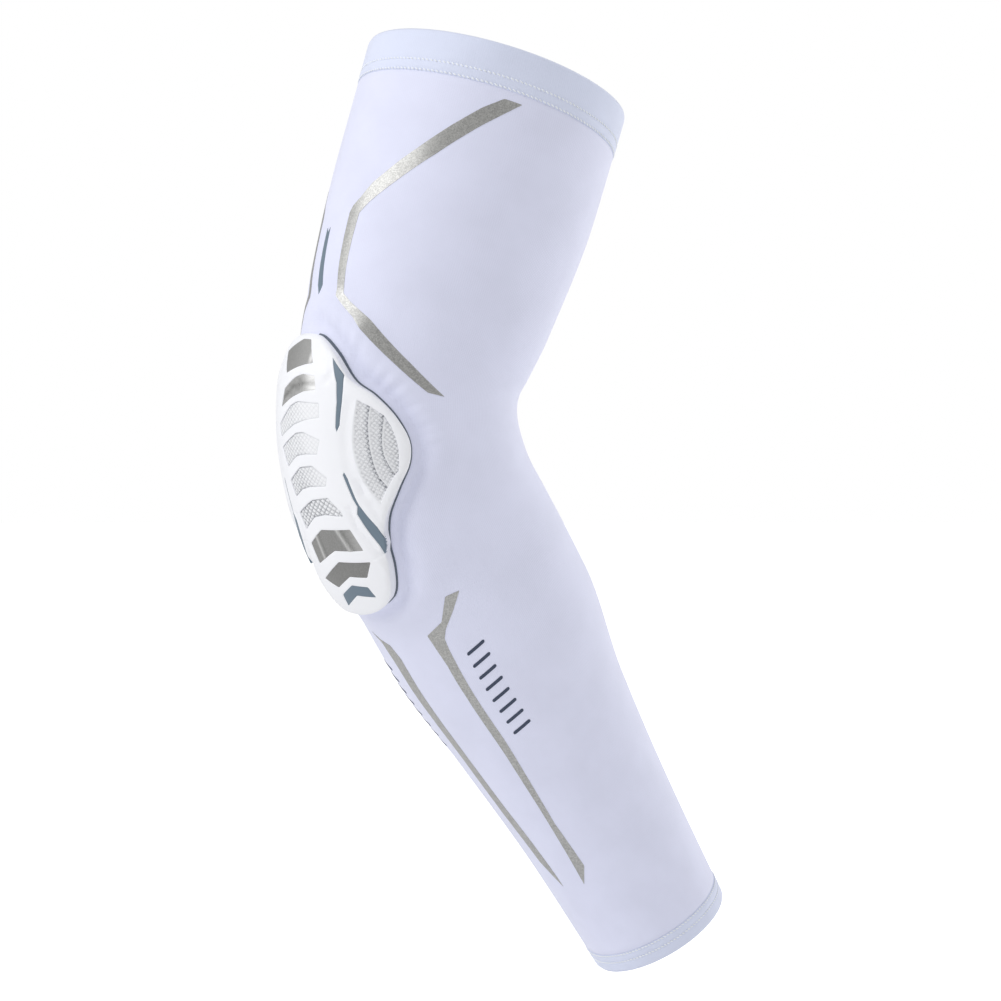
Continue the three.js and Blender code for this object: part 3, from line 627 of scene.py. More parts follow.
def knit_group():
    """Rows of small knit loops, read from the cloth's UV map in metres."""
    tree, entry, leave = new_group(
        "Knit Loops", {"Wale Width": 0.0009, "Course Height": 0.0007}, ("Height", "Shade"))
    flat = add_node(tree, "ShaderNodeUVMap", uv_map="UVMap").outputs["UV"]
    split = add_node(tree, "ShaderNodeSeparateXYZ", {"Vector": flat})
    wale = maths(tree, "DIVIDE", split.outputs["X"], entry.outputs["Wale Width"])
    course = maths(tree, "DIVIDE", split.outputs["Y"], entry.outputs["Course Height"])
    side = maths(tree, "ABSOLUTE", maths(tree, "SUBTRACT", maths(tree, "FRACT", wale), 0.5))
    leg = maths(tree, "ADD", course, side)
    loop = maths(tree, "SINE", maths(tree, "MULTIPLY", leg, 2 * math.pi))
    valley = maths(tree, "SUBTRACT", 1.0, maths(tree, "MULTIPLY", maths(tree, "POWER", side, 2.0), 3.2))
    height = maths(tree, "ADD", maths(tree, "MULTIPLY", loop, 0.3), valley)
    tree.links.new(height, leave.inputs["Height"])
    drift = add_node(tree, "ShaderNodeTexNoise", {"Vector": flat, "Scale": 45.0, "Detail": 3.0})
    tree.links.new(drift.outputs["Fac"], leave.inputs["Shade"])
    return tree


def grain_group():
    """Fine grain and small glints, from Object coordinates."""
    tree, entry, leave = new_group(
        "Fine Grain", {"Grain Scale": 3000.0, "Cloud Scale": 60.0}, ("Height", "Glint", "Cloud"))
    place = add_node(tree, "ShaderNodeTexCoord").outputs["Object"]
    grain = add_node(tree, "ShaderNodeTexNoise", {
        "Vector": place, "Scale": entry.outputs["Grain Scale"], "Detail": 2.0})
    cells = add_node(tree, "ShaderNodeTexVoronoi", {
        "Vector": place, "Scale": entry.outputs["Grain Scale"]})
    cloud = add_node(tree, "ShaderNodeTexNoise", {
        "Vector": place, "Scale": entry.outputs["Cloud Scale"], "Detail": 4.0})
    speck = add_node(tree, "ShaderNodeSeparateColor", {"Color": cells.outputs["Color"]})
    tree.links.new(grain.outputs["Fac"], leave.inputs["Height"])
    tree.links.new(speck.outputs["Red"], leave.inputs["Glint"])
    tree.links.new(cloud.outputs["Fac"], leave.inputs["Cloud"])
    return tree


def new_material(name):
    material = bpy.data.materials.new(name)
    material.use_nodes = True
    tree = material.node_tree
    shader = next(n for n in tree.nodes if n.type == "BSDF_PRINCIPLED")
    return material, tree, shader


def place_group(tree, maker, **values):
    """Places a shared node group in a material with its own values. It is built once."""
    known = {"knit": "Knit Loops", "grain": "Fine Grain"}
    group = bpy.data.node_groups.get(known[maker]) or {"knit": knit_group, "grain": grain_group}[maker]()
    node = tree.nodes.new("ShaderNodeGroup")
    node.node_tree = group
    for key, value in values.items():
        node.inputs[key.replace("_", " ").title()].default_value = value
    return node


def shade_between(tree, factor, dark, light):
    ramp = add_node(tree, "ShaderNodeMix", {
        "Factor": factor, "A": (*dark, 1), "B": (*light, 1)}, data_type="RGBA")
    return ramp.outputs["Result"]


def shades(base, dark, light):
    return tuple(c * dark for c in base), tuple(min(c * light, 1) for c in base)


def spread(tree, value, low, high, to_low, to_high):
    return add_node(tree, "ShaderNodeMapRange", {
        "Value": value, "From Min": low, "From Max": high, "To Min": to_low, "To Max": to_high,
    }).outputs["Result"]


def bumped(tree, shader, height, strength, distance):
    bump = add_node(tree, "ShaderNodeBump", {
        "Height": height, "Strength": strength, "Distance": distance})
    tree.links.new(bump.outputs["Normal"], shader.inputs["Normal"])


def link_mix(tree, shader, socket):
    tree.links.new(socket, shader.inputs["Base Color"])


def knit_material(name, base, wale, course, strength):
    material, tree, shader = new_material(name)
    loops = place_group(tree, "knit", wale_width=wale, course_height=course)
    dark, light = shades(base, 0.965, 1.02)
    drift = spread(tree, loops.outputs["Shade"], 0.3, 0.7, 0.0, 1.0)
    # The knit's valleys are painted darker by their height: painted shade, added to a drift that differs
    # at random.
    valley = spread(tree, loops.outputs["Height"], -0.2, 1.2, -0.35, 0.35)
    tone_and_painted_light = maths(tree, "ADD", drift, valley)
    link_mix(tree, shader, shade_between(tree, tone_and_painted_light, dark, light))
    shader.inputs["Roughness"].default_value = 0.72
    shader.inputs["Sheen Weight"].default_value = 0.25
    shader.inputs["Sheen Roughness"].default_value = 0.5
    shader.inputs["Specular IOR Level"].default_value = 0.25
    bumped(tree, shader, loops.outputs["Height"], strength, 0.00012)
    return material


def thread_material(base):
    material, tree, shader = new_material("Sewing Thread")
    grain = place_group(tree, "grain", grain_scale=2500.0, cloud_scale=120.0)
    dark, light = shades(base, 0.92, 1.05)
    link_mix(tree, shader, shade_between(tree, grain.outputs["Height"], dark, light))
    shader.inputs["Roughness"].default_value = 0.6
    shader.inputs["Sheen Weight"].default_value = 0.2
    bumped(tree, shader, grain.outputs["Height"], 0.3, 0.0001)
    return material


def moulded_material(name, base, roughness, grain_scale, strength, contrast=0.02):
    material, tree, shader = new_material(name)
    grain = place_group(tree, "grain", grain_scale=grain_scale, cloud_scale=70.0)
    dark, light = shades(base, 1 - contrast, 1 + contrast)
    link_mix(tree, shader, shade_between(tree, grain.outputs["Cloud"], dark, light))
    rough = spread(tree, grain.outputs["Height"], 0.3, 0.7, roughness - 0.05, roughness + 0.05)
    tree.links.new(rough, shader.inputs["Roughness"])
    bumped(tree, shader, grain.outputs["Height"], strength, 0.00006)
    return material


def film_material(name, base, metal, roughness, glint):
    """Silver film: a fine grain of brighter and darker specks."""
    material, tree, shader = new_material(name)
    grain = place_group(tree, "grain", grain_scale=2600.0, cloud_scale=90.0)
    dark, light = shades(base, 1 - glint, 1 + glint)
    link_mix(tree, shader, shade_between(tree, grain.outputs["Glint"], dark, light))
    rough = spread(tree, grain.outputs["Cloud"], 0.3, 0.7, roughness - 0.06, roughness + 0.06)
    tree.links.new(rough, shader.inputs["Roughness"])
    shader.inputs["Metallic"].default_value = metal
    bumped(tree, shader, grain.outputs["Glint"], 0.25, 0.00008)
    return material


def window_film_material(base):
    """Silver film whose painted highlights, painted shade and creases follow a vertex attribute of each
    window.
    """
    material, tree, shader = new_material("Silver Window Film")
    tone_and_painted_light = add_node(tree, "ShaderNodeAttribute", attribute_name="tone_and_painted_light").outputs["Fac"]
    grain = place_group(tree, "grain", grain_scale=2400.0, cloud_scale=90.0)
    speck = spread(tree, grain.outputs["Glint"], 0.0, 1.0, -0.035, 0.035)
    tone_and_painted_light = maths(tree, "ADD", tone_and_painted_light, speck)
    # The film is mixed towards near white where it carries a painted highlight.
    link_mix(tree, shader, shade_between(tree, tone_and_painted_light, base, (0.92, 0.92, 0.92)))
    rough = spread(tree, grain.outputs["Cloud"], 0.3, 0.7, 0.38, 0.50)
    tree.links.new(rough, shader.inputs["Roughness"])
    shader.inputs["Metallic"].default_value = 0.35
    bumped(tree, shader, grain.outputs["Glint"], 0.2, 0.00008)
    return material


def mesh_material(base, hole):
    material, tree, shader = new_material("Knit Mesh")
    depth = add_node(tree, "ShaderNodeAttribute", attribute_name="tone_and_painted_light").outputs["Fac"]
    grain = place_group(tree, "grain", grain_scale=4000.0, cloud_scale=200.0)
    # The mesh is mixed towards the hole colour by its vertex attribute: painted shade in its gaps and a
    # painted shadow line along each window's edge.
    link_mix(tree, shader, shade_between(tree, depth, base, hole))
    shader.inputs["Roughness"].default_value = 0.7
    shader.inputs["Sheen Weight"].default_value = 0.2
    bumped(tree, shader, grain.outputs["Height"], 0.3, 0.00008)
    return material


def material_for(kind):
    """Each finish is made once and then shared."""
    tints = bpy.context.scene.sleeve_colours
    names = {"knit": "Stretched Knit", "hem": "Doubled Hem", "thread": "Sewing Thread",
             "shell": "Moulded Shell", "foam": "Pad Foam", "mesh": "Knit Mesh",
             "foil": "Silver Window Film", "slate": "Slate Inlay",
             "silver": "Silver Print", "slate_print": "Slate Print",
             "navy": "Navy Print", "floor": "Pale Floor"}
    known = bpy.data.materials.get(names[kind])
    if known:
        return known
    makers = {
        "knit": lambda: knit_material(names[kind], tints.knit, 0.0008, 0.0006, 0.25),
        "hem": lambda: knit_material(names[kind], tints.hem, 0.0008, 0.0006, 0.3),
        "thread": lambda: thread_material(tints.thread),
        "shell": lambda: moulded_material(names[kind], tints.shell, 0.42, 2200.0, 0.08),
        "foam": lambda: moulded_material(names[kind], tints.foam, 0.7, 1500.0, 0.3, 0.08),
        "mesh": lambda: mesh_material(tints.mesh, tints.mesh_hole),
        "foil": lambda: window_film_material(tints.foil),
        "slate": lambda: moulded_material(names[kind], tints.slate, 0.5, 2200.0, 0.15, 0.05),
        "silver": lambda: film_material(names[kind], tints.silver, 0.9, 0.36, 0.22),
        "navy": lambda: moulded_material(names[kind], tints.navy, 0.6, 2600.0, 0.12, 0.06),
        "slate_print": lambda: moulded_material(names[kind], tints.slate, 0.6, 2600.0, 0.12, 0.06),
        "floor": lambda: floor_material(tints.floor),
    }
    return makers[kind]()


# Cloth

def even_out(bm, spans, side_spans):
    """Moves a square grid's rows and columns so that they lie closer together near the pad."""
    def spacing(spans_of, share):
        edges = [spans_of[0][0]] + [end for _, end, _ in spans_of]
        rows = np.cumsum([0] + [count for _, _, count in spans_of])
        return np.interp(share * rows[-1], rows, edges)
    for vert in bm.verts:
        vert.co.y = -float(spacing(spans, 0.5 - vert.co.y / 2))
        vert.co.x = float(spacing(side_spans, 0.5 + vert.co.x / 2))


def tube_cloth(form, spans, side_spans, rise):
    """Cloth laid flat as a fine grid, closed round the arm along its inner side."""
    rows = sum(count for _, _, count in spans)
    sides = sum(count for _, _, count in side_spans)
    bm = bmesh.new()
    bmesh.ops.create_grid(bm, x_segments=sides, y_segments=rows, size=1)
    even_out(bm, spans, side_spans)
    layer = bm.loops.layers.uv.new("UVMap")
    mean = form.arm.elbow_depth / 2
    for face in bm.faces:
        for loop in face.loops:
            loop[layer].uv = (loop.vert.co.x * mean, loop.vert.co.y)
    down = np.array([-v.co.y for v in bm.verts])
    around = np.array([v.co.x for v in bm.verts])
    for vert, point in zip(bm.verts, form.above(down, around, rise(down, around))):
        vert.co = point
    bmesh.ops.remove_doubles(bm, verts=bm.verts[:], dist=1e-6)
    bmesh.ops.recalc_face_normals(bm, faces=bm.faces[:])
    return bm


def add_wall(piece, wall):
    solid = piece.modifiers.new("Cloth Wall", "SOLIDIFY")
    solid.thickness = wall
    solid.offset = -1
    solid.use_even_offset = True


class SLEEVE_OT_cloth(bpy.types.Operator):
    """Stretch the knit cloth over the arm, with a soft roll round the pad"""
    bl_idname = "sleeve.cloth"
    bl_label = "Knit Cloth"

    def execute(self, context):
        form = ArmForm(context.scene)
        cloth = context.scene.sleeve_cloth
        tuck = 1.5 * MM
        top = cloth.upper_hem - tuck
        foot = form.length - cloth.wrist_hem + tuck
        spans = [(top, 0.100, 44), (0.100, 0.215, 104), (0.215, foot, 84)]
        side_spans = [(-math.pi, -1.5, 34), (-1.5, 1.9, 118), (1.9, math.pi, 26)]

        def rise(down, around):
            under = 1 - smooth_step(top, top + tuck, down) + smooth_step(foot - tuck, foot, down)
            return form.cloth_rise(down, around) - 0.9 * MM * under

        bm = tube_cloth(form, spans, side_spans, rise)
        piece = finished(bm, "knit_cloth", material_for("knit"), ["knit_sleeve"], 60)
        add_wall(piece, cloth.cloth_wall)
        return {"FINISHED"}


class SLEEVE_OT_hems(bpy.types.Operator):
    """Fold a doubled hem at each end of the cloth"""
    bl_idname = "sleeve.hems"
    bl_label = "Hems"

    def execute(self, context):
        form = ArmForm(context.scene)
        cloth = context.scene.sleeve_cloth
        hems = [
            ("upper_hem_fold", "upper_hem", 0.0, cloth.upper_hem, 0.0),
            ("wrist_hem_fold", "wrist_hem", form.length - cloth.wrist_hem, form.length, form.length),
        ]
        for name, node, start, end, rim in hems:
            spans = [(start, end, 26)]
            side_spans = [(-math.pi, math.pi, 150)]

            def rise(down, around, rim=rim, start=start, end=end):
                from_rim = np.abs(down - rim)
                width = end - start
                rounding = 0.5 * MM * (1 - smooth_step(0, 1.3 * MM, from_rim))
                tail = 0.5 * MM * smooth_step(width - 1.2 * MM, width, from_rim)
                grooves = sum(
                    0.30 * MM * np.exp(-((from_rim - row) / (0.75 * MM)) ** 2)
                    for row in stitch_rows(cloth, rim))
                puckers = 0.07 * MM * np.sin(around * 46) * smooth_step(0.2, 1.0, from_rim / width)
                return 0.25 * MM - rounding - tail - grooves + puckers

            bm = tube_cloth(form, spans, side_spans, rise)
            piece = finished(bm, name, material_for("hem"), [node], 60)
            add_wall(piece, cloth.hem_wall)
        return {"FINISHED"}


def stitch_rows(cloth, rim):
    """Distances of the two rows of stitches from a hem's rim."""
    shares = (0.715, 0.950) if rim == 0 else (0.545, 0.910)
    width = cloth.upper_hem if rim == 0 else cloth.wrist_hem
    return [share * width for share in shares]


class SLEEVE_OT_stitches(bpy.types.Operator):
    """Sew two rows of stitches along each hem"""
    bl_idname = "sleeve.stitches"
    bl_label = "Stitches"

    def execute(self, context):
        form = ArmForm(context.scene)
        cloth = context.scene.sleeve_cloth
        for name, rim in (("upper_hem_stitches", 0.0), ("wrist_hem_stitches", form.length)):
            bm = bmesh.new()
            for row in stitch_rows(cloth, rim):
                down = row if rim == 0 else rim - row
                pitch = cloth.stitch_pitch * (1 if rim == 0 else 0.78)
                count = round(2 * math.pi * float(form.mean_radius(down)) / pitch)
                for k in range(count):
                    add_stitch(bm, form, down, 2 * math.pi * k / count, pitch, cloth.thread_width)
            finished(bm, name, material_for("thread"), [], 180)
        return {"FINISHED"}


def add_stitch(bm, form, down, around, pitch, width):
    """One slanting stitch: a short round thread that dips into the cloth at both ends."""
    made = bmesh.ops.create_icosphere(bm, subdivisions=1, radius=1)["verts"]
    slant = 0.42
    radius = float(form.mean_radius(down))
    for vert in made:
        along = vert.co.z * pitch * 0.48
        across = vert.co.x * width / 2 + along * slant
        height = vert.co.y * width * 0.42 + 0.10 * MM
        vert.co = Vector(form.above(
            np.array(down + across), np.array(around + along / radius), np.array(height)))


# Pad

def pad_spots(pad, shares, side=1):
    """Flat places on the pad from shares of its half width and of its length."""
    return [Vector((side * across * pad.pad_half_width, -along * pad.pad_length))
            for across, along in shares]


def leaf_strip(pad, side, number):
    """The outline of one of the three strips of mesh in a wing."""
    left, right = (smooth_line(pad_spots(pad, line, side), 5) for line in LEAF_LINES[number:number + 2])
    return drop_doubles(right + left[::-1])


def leaf_outline(pad, side):
    top = smooth_line(pad_spots(pad, LEAF_TOP, side), 5)
    outer = smooth_line(pad_spots(pad, LEAF_OUTER + [LEAF_MIDDLE[-1], LEAF_INNER[-1]], side), 5)
    inner = smooth_line(pad_spots(pad, LEAF_INNER, side), 5)
    return drop_doubles(top + outer + inner[::-1])


def drop_doubles(spots):
    return [p for i, p in enumerate(spots) if (p - spots[i - 1]).length > CLOSE_SPOTS]


def pad_fillings(pad):
    """Every filling of the shell's windows: kind, outline, the CAD node that it is, and its side."""
    made = []
    for row in WINDOWS:
        node = row["name"] if row["kind"] == "slate" else row["name"] + "_panel"
        made.append((row["kind"], softened(pad_spots(pad, row["outline"]), 0.6 * MM), node, 0))
    for hand, side in (("right", 1), ("left", -1)):
        for name, shares in WEDGES.items():
            made.append(("slate", pad_spots(pad, shares, side), f"{name}_{hand}", side))
        for number, name in enumerate(("inner", "middle", "outer")):
            made.append(("mesh", leaf_strip(pad, side, number), f"wing_mesh_{name}_{hand}", side))
    return made


def pad_holes(pad):
    """The outlines of the shell's own openings."""
    made = [spots for _, spots, node, _ in pad_fillings(pad) if "wing_mesh" not in node]
    return made + [leaf_outline(pad, side) for side in (1, -1)]


class SLEEVE_OT_foam(bpy.types.Operator):
    """Shape the pad's foam slab, whose soft dark edge shows under the shell as painted shade of the gap
    """
    bl_idname = "sleeve.foam"
    bl_label = "Pad Foam"

    def execute(self, context):
        form = ArmForm(context.scene)
        thickness = 5 * MM
        bm = plate(form.pad_outline, [], thickness, [(0.25 * MM, 0.8 * MM), (0.6 * MM, 0.4 * MM)])
        slice_up(bm, 2 * MM, 2 * MM)
        flat_uv(bm)
        wrap(bm, form, form.pad_place, thickness, lambda x, y: 0.35 * MM + 0 * x,
             lambda x, y: form.shell_floor(x, y) - 0.15 * MM)
        piece = finished(bm, "pad_cushion", material_for("foam"), ["pad_foam"])
        return {"FINISHED"}


class SLEEVE_OT_shell(bpy.types.Operator):
    """Mould the pad's white shell, with its windows, ribs and wings"""
    bl_idname = "sleeve.shell"
    bl_label = "Pad Shell"

    def execute(self, context):
        form = ArmForm(context.scene)
        pad = context.scene.sleeve_pad
        thickness = 4 * MM
        outline = shrunk(form.pad_outline, pad.shell_inset)
        rim = [(0.06 * MM, 0.14 * MM), (0.10 * MM, 0.08 * MM), (0.14 * MM, 0.04 * MM)]
        bm = plate(outline, pad_holes(pad), thickness, rim)
        slice_up(bm, SHELL_SLICE, SHELL_SLICE)
        flat_uv(bm)
        wrap(bm, form, form.pad_place, thickness, form.shell_floor, form.pad_top)
        finished(bm, "moulded_shell", material_for("shell"), ["pad_shell"])
        return {"FINISHED"}


class SLEEVE_OT_windows(bpy.types.Operator):
    """Fill the shell's windows with silver film, knit mesh and slate inlays"""
    bl_idname = "sleeve.windows"
    bl_label = "Window Fillings"

    def execute(self, context):
        form = ArmForm(context.scene)
        pad = context.scene.sleeve_pad
        for kind, spots, node, side in pad_fillings(pad):
            fine = kind == "mesh"
            outline = spots if side else shrunk(spots, -0.10 * MM)
            thickness = 2 * MM
            bm = plate(outline, [], thickness, [] if fine else [(0.12 * MM, 0.08 * MM)])
            step = MESH_SLICE if fine else FILM_SLICE
            slice_up(bm, step, step)
            flat_uv(bm)
            face = {"tone_and_painted_light": None, "lift": None}

            def high(x, y):
                face["tone_and_painted_light"], face["lift"] = filling_face(pad, kind, node, outline, x, y)
                return FILLING_TOP[kind] * form.pad_height(x, y) + face["lift"]

            wrap(bm, form, form.pad_place, thickness,
                 lambda x, y: SHELL_FLOOR * form.pad_height(x, y) - 0.1 * MM, high)
            layer = bm.verts.layers.float.new("tone_and_painted_light")
            for vert, tone_and_painted_light in zip(bm.verts, face["tone_and_painted_light"]):
                vert[layer] = float(tone_and_painted_light)
            finished(bm, node + "_filling", material_for(kind), [node], 60)
        return {"FINISHED"}


def filling_face(pad, kind, node, outline, x, y):
    """A filling's painted shade and painted highlights, with its own pattern, from 0 to 1, and how far
    its face rises, for arrays of flat places.
    """
    if kind == "slate":
        return 0 * x, 0 * x
    if kind == "foil":
        return foil_face(node, x / MM, y / MM)
    if "wing" in node:
        return louvre_face(pad, node, x, y)
    return window_mesh_face(pad, node, outline, x, y)


def weave(x, y, width, height):
    """From 0 on a grain of the knit mesh to 1 in the gaps round it, laid out in diamonds."""
    a = np.abs(np.sin(math.pi * (x / width + y / height)))
    b = np.abs(np.sin(math.pi * (x / width - y / height)))
    return 1 - smooth_step(0.10, 0.62, np.minimum(a, b * 1.25))


def window_mesh_face(pad, node, outline, x, y):
    coarse = node.startswith("mesh_4")
    share = 1.0 if coarse else 0.85
    # The mesh's gaps are painted darker as painted shade in its holes, by a strength for each window and
    # less towards the right.
    gap = weave(x, y, pad.mesh_pitch * share * 1.25, pad.mesh_pitch * share * 1.15)
    strength = {"mesh_1": 0.50, "mesh_2": 0.55, "mesh_3": 0.75, "mesh_4": 0.95}[node[:6]]
    to_right = smooth_step(-7 * MM, 11 * MM, x)
    gap = gap * strength * (1 - (0.35 if coarse else 0.75) * to_right)
    inside = np.abs(distance_to_outline(outline, x, y))
    # A dark line along the window's edge is painted shadow, less towards the right; the face also dips
    # there.
    rim = (1 - smooth_step(0.15 * MM, 0.65 * MM, inside)) * (1 - 0.75 * to_right)
    lift = 0.25 * MM - pad.mesh_depth * gap - 0.35 * MM * rim
    return np.maximum(gap, rim * 0.9), lift


def louvre_face(pad, node, x, y):
    """A strip of a wing's mesh: its near edge stands up and its far edge dips under the next, where it
    is painted darker as painted shadow; its gaps carry painted shade.
    """
    names = ("inner", "middle", "outer")
    number = next(k for k, name in enumerate(names) if name in node)
    near, far = (leaf_across(pad, line, y) for line in LEAF_LINES[number:number + 2])
    t = np.clip((np.abs(x) - near) / np.maximum(far - near, 0.3 * MM), 0, 1)
    gap = weave(x, y, pad.mesh_pitch * 0.85, pad.mesh_pitch * 1.05)
    far_edge_painted_shadow = smooth_step(0.55, 1.0, t) if number < 2 else 0.35 * smooth_step(0.2, 1.0, t)
    bead = 1 - smooth_step(0.35 * MM, 0.75 * MM, np.abs(x) - near)
    tone_and_painted_light = np.clip(gap * (0.22 + 0.75 * far_edge_painted_shadow) + 0.35 * far_edge_painted_shadow ** 2, 0, 1) * (1 - bead)
    lift = 0.35 * MM - (1.25 if number < 2 else 0.7) * MM * t + 0.15 * MM * bead
    return tone_and_painted_light, lift - pad.mesh_depth * 0.6 * gap * (1 - bead)


def leaf_across(pad, line, y):
    """How far out a line of the leaf lies at each height."""
    spots = sorted(smooth_line(pad_spots(pad, line), 5), key=lambda p: p.y)
    return np.interp(y, [p.y for p in spots], [p.x for p in spots])


def foil_face(node, x, y):
    """The silver film's painted highlights and painted shade, its creases and how far its face rises, in
    millimetres.
    """
    lift = 0 * x
    if node.startswith("top_foil"):
        # A painted highlight runs down near the lower right corner, and the film is lighter towards the
        # right.
        painted_highlight_streak = np.exp(-((x - 8.6) / 0.9) ** 2 - ((y - 50.5) / 2.4) ** 2)
        tone_and_painted_light = 0.10 + 0.10 * smooth_step(-10, 6, x) + 0.75 * painted_highlight_streak
        return tone_and_painted_light, MM * 0.25 * np.exp(-((x - 9.2) / 0.8) ** 2)
    if node.startswith("upper_foil"):
        # A darker band along a dent is painted shade in it; the film is lighter towards the right.
        away = distance_to_line([(-10, 34.5), (0, 39.6), (6, 40.6), (12, 40.4)], x, y)
        threads = 0.10 * np.sin(x * 7.4) * np.sin(y * 6.1)
        tone_and_painted_light = 0.26 + threads - 0.24 * np.exp(-(away / 0.9) ** 2) + 0.62 * smooth_step(4, 11, x)
        return np.clip(tone_and_painted_light, 0, 1), -0.2 * MM * np.exp(-(away / 1.0) ** 2)
    if node.startswith("lower_foil"):
        # The raised creases carry painted highlights with painted shadows beside them; the film is
        # lighter towards the right.
        tone_and_painted_light = 0.07 + 0.20 * smooth_step(8, 14, x)
        for top, foot in (((-5.7, -17), (-5.7, -30)), ((6.1, -17), (9.2, -29))):
            away = distance_to_line([top, foot], x, y)
            shade = distance_to_line([(top[0] + 1.3, top[1]), (foot[0] + 1.3, foot[1])], x, y)
            crease_and_painted_highlight = np.exp(-(away / 0.75) ** 2)
            tone_and_painted_light = tone_and_painted_light + 0.42 * crease_and_painted_highlight - 0.08 * np.exp(-(shade / 0.8) ** 2)
            lift = lift + 0.40 * MM * crease_and_painted_highlight
        return np.clip(tone_and_painted_light, 0, 1), lift
    return 0.02 + 0 * x, lift


# Prints

def print_outline(spots, side):
    """A printed stripe's outline, from millimetres across the pattern and down the arm."""
    return softened([Vector((side * across, -down)) * MM for across, down in spots], 0.5 * MM, 3)


def add_print(form, prints, name, outline, kind, node):
    thickness = 0.4 * MM
    bm = plate(outline, [], thickness, [])
    slice_up(bm, PRINT_SLICE, PRINT_SLICE)
    flat_uv(bm)

    def low(x, y):
        down, around = form.print_place(x, y)
        return form.cloth_rise(down, around) - 0.15 * MM

    def high(x, y):
        return low(x, y) + 0.15 * MM + prints.film

    wrap(bm, form, form.print_place, thickness, low, high)
    return finished(bm, name, material_for(kind), [node])


class SLEEVE_OT_prints(bpy.types.Operator):
    """Lay the silver stripes, the slate mark and the ticks on the cloth"""
    bl_idname = "sleeve.prints"
    bl_label = "Printed Marks"

    def execute(self, context):
        form = ArmForm(context.scene)
        prints = context.scene.sleeve_prints
        pad_top = float(form.pad_place(0, 0.515 * form.pad.pad_length)[0])
        pad_foot = float(form.pad_place(0, -0.490 * form.pad.pad_length)[0])
        half = prints.mark_width / 2
        foot = -(pad_top - MARK_ABOVE_PAD)
        top = foot + prints.mark_length
        shoulder = foot + 0.14 * prints.mark_length
        x = -1 * MM
        mark = [Vector(p) for p in (
            (x - 0.7 * half, top), (x - half, shoulder), (x, foot), (x + half, shoulder),
            (x + 0.7 * half, top), (x, top - half))]
        add_print(form, prints, "upper_arm_mark_film", mark, "slate_print",
                  "upper_arm_mark")
        stripes = [
            ("upper_stripe", "right", UPPER_STRIPE, 1), ("upper_stripe", "left", UPPER_STRIPE, -1),
            ("forearm_stripe", "right", LONG_STRIPE, 1), ("forearm_stripe", "left", EDGE_STRIPE, 1),
        ]
        for name, hand, spots, side in stripes:
            add_print(form, prints, f"{name}_film_{hand}", print_outline(spots, side),
                      "silver", f"{name}_{hand}")
        for hand, side in (("right", 1), ("left", -1)):
            for k in range(TICK_COUNT):
                down = pad_foot + FIRST_TICK + prints.tick_pitch * k
                middle = Vector((28.0 * MM - 2.8 * MM * k / 7, -down))
                add_print(form, prints, f"tick_film_{k + 1}_{hand}", tick_outline(prints, middle, side),
                          "navy", f"tick_{k + 1}_{hand}")
        return {"FINISHED"}


def tick_outline(prints, middle, side):
    """A short bar with round ends that rises a little outwards."""
    nose = prints.tick_width / 2
    half = prints.tick_length / 2
    spots = []
    for end in (1, -1):
        for k in range(7):
            angle = math.pi * (k / 6 - 0.5)
            reach = half - nose + nose * math.cos(angle)
            spots.append(Vector((end * reach, end * nose * math.sin(angle))))
    return [Vector((side * (middle.x + p.x), middle.y + p.y + TICK_RISE * p.x / half)) for p in spots]


# Stage

def seen_directly(tree, shader, socket, seen, unseen):
    """A value that differs between what the camera sees and the light it gives off."""
    path = add_node(tree, "ShaderNodeLightPath").outputs["Is Camera Ray"]
    tree.links.new(spread(tree, path, 0.0, 1.0, unseen, seen), shader.inputs[socket])


def studio_world():
    world = bpy.data.worlds.new("Pale Studio")
    world.use_nodes = True
    tree = world.node_tree
    sky = tree.nodes["Background"]
    sky.inputs["Color"].default_value = (1, 1, 1, 1)
    seen_directly(tree, sky, "Strength", 1.0, 0.60)
    return world


def floor_material(base):
    material, tree, shader = new_material("Pale Floor")
    grain = place_group(tree, "grain", grain_scale=200.0, cloud_scale=4.0)
    dark, light = shades(base, 0.995, 1.005)
    link_mix(tree, shader, shade_between(tree, grain.outputs["Cloud"], dark, light))
    shader.inputs["Roughness"].default_value = 0.9
    shader.inputs["Emission Color"].default_value = (1, 1, 1, 1)
    seen_directly(tree, shader, "Emission Strength", 0.62, 0.0)
    return material


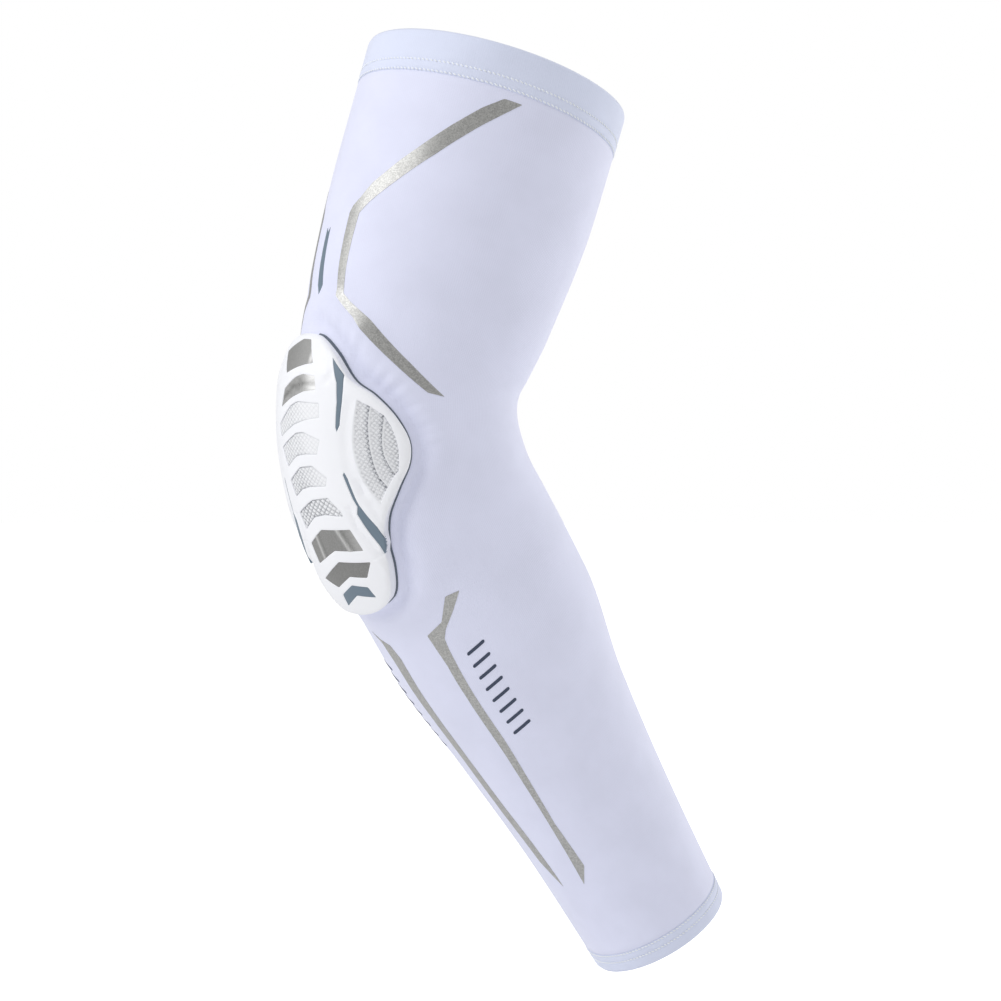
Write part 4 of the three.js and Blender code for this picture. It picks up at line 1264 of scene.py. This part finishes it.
class SLEEVE_OT_stage(bpy.types.Operator):
    """Set the pale floor, the soft lights and the camera"""
    bl_idname = "sleeve.stage"
    bl_label = "Stage"

    def execute(self, context):
        scene = context.scene
        bm = bmesh.new()
        bmesh.ops.create_circle(bm, cap_ends=True, segments=96, radius=30)
        bmesh.ops.translate(bm, vec=(0, 0, cad_low.z - 0.035), verts=bm.verts[:])
        mesh = bpy.data.meshes.new("studio_floor")
        bm.to_mesh(mesh)
        bm.free()
        mesh.materials.append(material_for("floor"))
        floor = bpy.data.objects.new("studio_floor", mesh)
        scene.collection.objects.link(floor)
        for name, place, size, power in SOFTBOXES:
            data = bpy.data.lights.new(name, "AREA")
            data.size = size
            data.energy = power
            lamp = bpy.data.objects.new(name, data)
            lamp.location = place
            lamp.rotation_euler = (-Vector(place)).to_track_quat("-Z", "Y").to_euler()
            scene.collection.objects.link(lamp)
        scene.world = studio_world()
        scene.view_settings.view_transform = "Standard"
        camera = bpy.data.cameras.new("view_from_the_right")
        camera.lens = CAMERA_LENS
        camera.sensor_width = CAMERA_SENSOR
        holder = bpy.data.objects.new("view_from_the_right", camera)
        target = Vector(CAMERA_TARGET) * MM
        azimuth = math.radians(CAMERA_AZIMUTH)
        away = Vector((math.sin(azimuth), -math.cos(azimuth), 0))
        holder.location = target + away * CAMERA_AWAY
        holder.rotation_euler = (-away).to_track_quat("-Z", "Y").to_euler()
        scene.collection.objects.link(holder)
        scene.camera = holder
        return {"FINISHED"}


class SLEEVE_PT_panel(bpy.types.Panel):
    """Lists the sleeve's operators and sizes"""
    bl_label = "Padded Arm Sleeve"
    bl_idname = "SLEEVE_PT_panel"
    bl_space_type = "VIEW_3D"
    bl_region_type = "UI"
    bl_category = "Arm Sleeve"

    def draw(self, context):
        for operator in OPERATORS:
            self.layout.operator(operator.bl_idname)
        for name, group in PROPERTIES.items():
            box = self.layout.box()
            box.label(text=group.__doc__)
            for key in group.__annotations__:
                box.prop(getattr(context.scene, name), key)


PROPERTIES = {
    "sleeve_arm": ArmSizes, "sleeve_cloth": ClothSizes, "sleeve_pad": PadSizes,
    "sleeve_prints": PrintSizes, "sleeve_colours": SleeveColours,
}
OPERATORS = (SLEEVE_OT_cloth, SLEEVE_OT_hems, SLEEVE_OT_stitches, SLEEVE_OT_foam, SLEEVE_OT_shell,
             SLEEVE_OT_windows, SLEEVE_OT_prints, SLEEVE_OT_stage)


def register():
    for group in PROPERTIES.values():
        bpy.utils.register_class(group)
    for operator in OPERATORS:
        bpy.utils.register_class(operator)
    bpy.utils.register_class(SLEEVE_PT_panel)
    for name, group in PROPERTIES.items():
        setattr(bpy.types.Scene, name, bpy.props.PointerProperty(type=group))


def unregister():
    for name in PROPERTIES:
        delattr(bpy.types.Scene, name)
    bpy.utils.unregister_class(SLEEVE_PT_panel)
    for operator in reversed(OPERATORS):
        bpy.utils.unregister_class(operator)
    for group in reversed(PROPERTIES.values()):
        bpy.utils.unregister_class(group)


def main():
    register()
    bpy.ops.sleeve.stage()
    bpy.ops.sleeve.cloth()
    bpy.ops.sleeve.hems()
    bpy.ops.sleeve.stitches()
    bpy.ops.sleeve.foam()
    bpy.ops.sleeve.shell()
    bpy.ops.sleeve.windows()
    bpy.ops.sleeve.prints()


if __name__ == "__main__":
    main()
